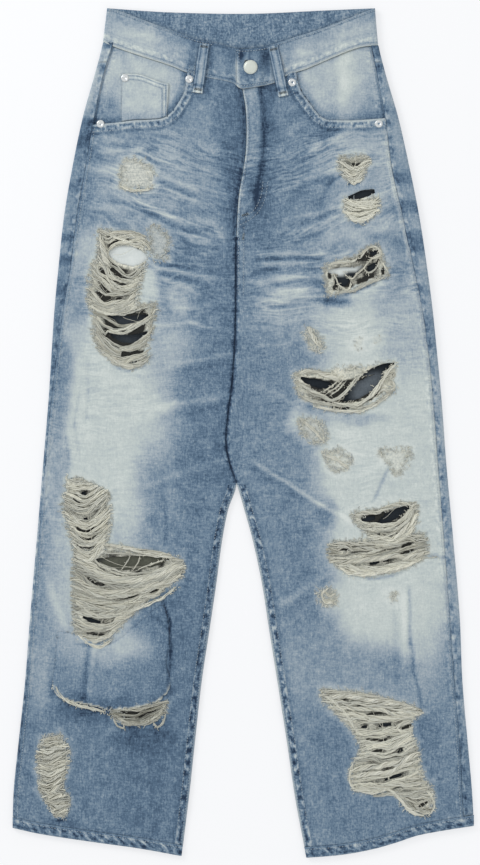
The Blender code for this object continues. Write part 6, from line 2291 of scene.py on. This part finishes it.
class JEANS_OT_topstitching(Step, bpy.types.Operator):
    """Run the topstitching along seams, pockets, fly, waistband, yokes and hems"""

    bl_idname = "jeans.topstitching"
    bl_label = "Topstitching"

    def make(self, cloth):
        pitch = cloth.pitch / MM
        for side in SIDE_NAMES:
            stitch_piece("front_stitching_" + side, self.front(side), pitch)
            stitch_piece("back_stitching_" + side, self.back(side), pitch)
        stitch_piece("waistband_stitching", self.band(), pitch)
        stitch_piece("pocket_stitching", self.coin(), pitch)
        self.bartacks()

    def front(self, side):
        runs = []
        for offset in (2.2, 8.8):
            moved = offset if side == "left" else -offset
            x, y = offset_run(MOUTHS[side], -moved)
            runs += broken_by_rips(side, *front_run(side, x, y))
        y = np.linspace(CROTCH - 6, -492, 150)
        for offset in (2.6, FELL - 0.6):
            x = inner_edge(side, y) + sign(side) * offset
            runs += broken_by_rips(side, *front_run(side, x, y))
        y = np.linspace(368, -462, 260)
        x = outseam(side, y) - sign(side) * 2.4
        runs += broken_by_rips(side, *front_run(side, x, y))
        if side == "left":
            y = np.linspace(410, 168, 90)
            runs.append(front_run(side, inner_edge(side, y) + 2.4, y))
            y = np.linspace(246, 166, 40)
            runs.append(front_run(side, inner_edge(side, y) + 8.6, y))
            for offset in (0.0, 5.5):
                x, y = offset_run(FLY_STITCH, -offset)
                runs.append(front_run(side, x, y))
        return runs

    def back(self, side):
        runs = []
        for offset in (3.0, 9.0):
            share = np.linspace(0, 1, 60)
            y = yoke_line(share) - offset
            x = mix(inner_edge(side, y), side_edge(side, y) - sign(side) * 3, share)
            runs.append((x, y, back_level(y) - 0.2))
        if side == "left":
            y = np.linspace(455, -50, 140)
            for offset in (2.6, 9.0):
                runs.append((inner_edge(side, y) + offset, y, back_level(y) - 0.2))
        y = np.linspace(CROTCH - 8, -492, 130)
        runs.append((inner_edge(side, y) + sign(side) * 3, y, back_level(y) - 0.2))
        for inset in (2.2, 8.2):
            runs.append(self.pocket_run(side, inset))
        inset = sign(side) * 4
        foot_x = np.linspace(inner_edge(side, -500.0) + inset, side_edge(side, -480.0) - inset, 60)
        foot_y = hem_foot(side, foot_x) + HEM_DEPTH - 3
        runs.append((foot_x, foot_y, np.full(60, -0.2)))
        runs.append((foot_x, foot_y, np.full(60, HEM_TOP + 0.2)))
        return runs

    def pocket_run(self, side, inset):
        """Down one side of a patch pocket, to its point and up the other side."""
        centre = sign(side) * 104.0
        corners = [
            (centre - 70 + inset, 383), (centre - 62 + inset, 242 + inset * 0.8), (centre, 230 + inset),
            (centre + 62 - inset, 242 + inset * 0.8), (centre + 70 - inset, 383)]
        at = np.linspace(0, 4, 120)
        x = np.interp(at, range(5), [c[0] for c in corners])
        y = np.interp(at, range(5), [c[1] for c in corners])
        return x, y, np.full(120, -0.12)

    def band(self):
        stations = band_stations()
        top, foot = band_lines(stations)
        runs = []
        for share in (0.06, 0.93):
            line = mix(top, foot, share)
            lifted = np.array([0.25 if where == "front" else (-0.2 if where == "back" else 0.0)
                               for where, _x, _z in stations])
            runs.append((line[22:, 0], line[22:, 1], line[22:, 2] + lifted[22:]))
        down = np.linspace(0.06, 0.93, 14)
        end = mix(top[-1][None], foot[-1][None], down[:, None])
        runs.append((end[:, 0] + 2.4, end[:, 1], end[:, 2] + 0.2))
        return runs

    def coin(self):
        runs = []
        level = HIP_TOP - SEAM + 0.25
        for inset in (2.0, 7.4):
            x = np.linspace(-144.5 + 0.2, -90.5 - inset * 0.3, 30)
            runs.append((x, coin_top(x) - inset, np.full(30, level)))
            y = np.linspace(417, 381, 22)
            runs.append((np.full(22, -90.8 - inset * 0.8), y, np.full(22, level)))
        return runs

    def bartacks(self):
        """Dense bars where a belt loop or the fly is fastened."""
        threads = Threads()
        for loop in LOOPS:
            for along in (0.06, 0.93):
                self.bar(threads, loop, along)
        for x, y, tilt in ((2.0, 262.0, 20), (0.0, 236.0, 80)):
            self.fly_bar(threads, x, y, math.radians(tilt))
        thread_piece("bartacks", threads, "topstitch_thread", 4)

    def bar(self, threads, loop, along):
        zig = np.linspace(-4.6, 4.6, 30)
        share = along + 0.022 * np.where(np.arange(30) % 2, 1, -1)
        x, y, z = loop_place(loop, share, zig)
        threads.add(x, y, z + (0.3 if loop.front else -0.3), 0.42, 1.0)

    def fly_bar(self, threads, x, y, tilt):
        zig = np.linspace(-4, 4, 26)
        side = 1.1 * np.where(np.arange(26) % 2, 1, -1)
        px = x + zig * math.cos(tilt) - side * math.sin(tilt)
        py = y + zig * math.sin(tilt) + side * math.cos(tilt)
        threads.add(px, py, front_surface("left", px, py, bare=False) + 0.4, 0.4, 1.0)


# Each cloth piece: its cut's width and length in millimetres, what it lies on, what is sewn to it
Cut = namedtuple("Cut", "piece width length fill rests with_pieces")


def cuts():
    rows = []
    for side in SIDE_NAMES:
        rows += [
            Cut("front_panel_" + side, 236, 950, 0.84, ["back_panel_" + side],
                ["rip_threads_" + side, "rip_fringe_" + side, "front_stitching_" + side]),
            Cut("back_panel_" + side, 262, 940, 0.86, ["seat_pocket_" + side], ["back_stitching_" + side]),
            Cut("yoke_" + side, 210, 80, 0.62, ["back_panel_" + side], []),
            Cut("hem_turned_" + side, 424, 13, 1.0, [], []),
            Cut("pocket_inset_" + side, 125, 112, 0.72, ["pocket_lining_" + side], []),
            Cut("pocket_lining_" + side, 105, 300, 0.75, ["back_panel_" + side], []),
            Cut("seat_pocket_" + side, 140, 154, 0.9, [], []),
        ]
    rows.append(Cut("coin_pocket_patch", 56, 54, 0.9, ["pocket_inset_right"], ["pocket_stitching"]))
    rows.append(Cut("knee_patch_cloth", 142, 126, 0.72, ["front_panel_right"], []))
    rows.append(Cut("waistband_shell", 680, 42, 0.98, ["front_panel_right", "front_panel_left"],
                    ["waistband_stitching", "bartacks"]))
    for loop in LOOPS:
        rows.append(Cut("belt_loop_" + loop.name + "_cloth", 13, 60, 0.98, ["waistband_shell"], []))
    return rows


class JEANS_OT_declare_cloth(Step, bpy.types.Operator):
    """State the flat cut of every cloth piece"""

    bl_idname = "jeans.declare_cloth"
    bl_label = "Flat cuts"

    def make(self, cloth):
        for cut in cuts():
            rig.sheet(
                bpy.data.objects[cut.piece], flat=(cut.width * MM, cut.length * MM), held="laid",
                rests_on=cut.rests, area=cut.fill * cut.width * cut.length * MM * MM,
                with_pieces=cut.with_pieces)


class JEANS_OT_stage(bpy.types.Operator):
    """Set the pale floor, the soft light and the camera above the jeans"""

    bl_idname = "jeans.stage"
    bl_label = "Stage"
    bl_options = {"REGISTER", "UNDO"}

    def execute(self, context):
        stage = context.scene.jeans_stage
        self.floor(stage)
        self.light(stage)
        self.camera(context, stage)
        context.scene.view_settings.view_transform = "Standard"
        return {"FINISHED"}

    def floor(self, stage):
        mesh = bpy.data.meshes.new("floor")
        reach = 6.0
        corners = ((-reach, -reach), (reach, -reach), (reach, reach), (-reach, reach))
        mesh.from_pydata([(*corner, -0.0004) for corner in corners], [], [(0, 1, 2, 3)])
        material = bpy.data.materials.new("pale_floor")
        material.use_nodes = True
        tree = material.node_tree
        shader = tree.nodes["Principled BSDF"]
        feed(shader, {"Base Color": tuple(stage.floor), "Roughness": 0.9, "Specular IOR Level": 0.1})
        glow = outcome(tree, "ShaderNodeEmission", {"Color": tuple(stage.floor)})
        rays = tree.nodes.new("ShaderNodeLightPath").outputs
        seen = Signal(rays["Is Camera Ray"]).math("MAXIMUM", Signal(rays["Is Glossy Ray"]))
        seen = seen.math("MAXIMUM", Signal(rays["Is Transmission Ray"])) * 0.62
        blend = outcome(tree, "ShaderNodeMixShader", {0: seen, 1: Signal(shader.outputs[0]), 2: glow})
        feed(tree.nodes["Material Output"], {"Surface": blend})
        mesh.materials.append(material)
        floor = placed("floor", mesh)
        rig.stage(floor)

    def light(self, stage):
        world = bpy.context.scene.world or bpy.data.worlds.new("world")
        bpy.context.scene.world = world
        world.use_nodes = True
        feed(world.node_tree.nodes["Background"], {"Color": (1, 1, 1, 1), "Strength": stage.sky})
        for name, place, size, share in (
            ("key_lamp", (-1.9, 1.7, 1.5), 1.0, 1.0), ("fill_lamp", (1.8, -1.6, 2.4), 2.0, 0.35),
        ):
            lamp = bpy.data.lights.new(name, "AREA")
            lamp.energy = stage.key * share
            lamp.size = size
            made = placed(name, lamp)
            made.location = place
            made.rotation_mode = "QUATERNION"
            made.rotation_quaternion = (-Vector(place)).to_track_quat("-Z", "Y")

    def camera(self, context, stage):
        lens = bpy.data.cameras.new("camera")
        lens.lens = stage.camera_lens
        lens.sensor_width = 36
        tall = stage.view_width * 865 / 480
        away = tall / 2 / (lens.sensor_width / 2 / lens.lens)
        lens.clip_end = 50
        made = placed("camera", lens)
        made.location = (stage.across, stage.along, away + 0.006)
        context.scene.camera = made


STEPS = [
    JEANS_OT_stage, JEANS_OT_finishes, JEANS_OT_front_panels, JEANS_OT_back_panels, JEANS_OT_hems,
    JEANS_OT_waistband, JEANS_OT_pockets, JEANS_OT_knee_patch, JEANS_OT_belt_loops, JEANS_OT_hardware,
    JEANS_OT_rips, JEANS_OT_topstitching, JEANS_OT_declare_cloth,
]


class JEANS_PT_steps(bpy.types.Panel):
    """The settings and the steps, in order"""

    bl_idname = "JEANS_PT_steps"
    bl_label = "Ripped jeans"
    bl_space_type = "VIEW_3D"
    bl_region_type = "UI"
    bl_category = "Jeans"

    def draw(self, context):
        for settings in (context.scene.jeans_cloth, context.scene.jeans_stage):
            for name in settings.__annotations__:
                self.layout.prop(settings, name)
        for step in STEPS:
            self.layout.operator(step.bl_idname)


CLASSES = [JeansCloth, JeansStage, *STEPS, JEANS_PT_steps]


def register():
    for item in CLASSES:
        bpy.utils.register_class(item)
    bpy.types.Scene.jeans_cloth = PointerProperty(type=JeansCloth)
    bpy.types.Scene.jeans_stage = PointerProperty(type=JeansStage)


def unregister():
    del bpy.types.Scene.jeans_stage
    del bpy.types.Scene.jeans_cloth
    for item in reversed(CLASSES):
        bpy.utils.unregister_class(item)


def write_sizes():
    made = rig.bounds()
    with open("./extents.json", "w") as file:
        json.dump({"cad": [list(c) for c in CAD_BOX], "visual": [list(c) for c in made]}, file)


def main():
    register()
    for step in STEPS:
        group, name = step.bl_idname.split(".")
        getattr(getattr(bpy.ops, group), name)()
    write_sizes()


if __name__ == "__main__":
    main()
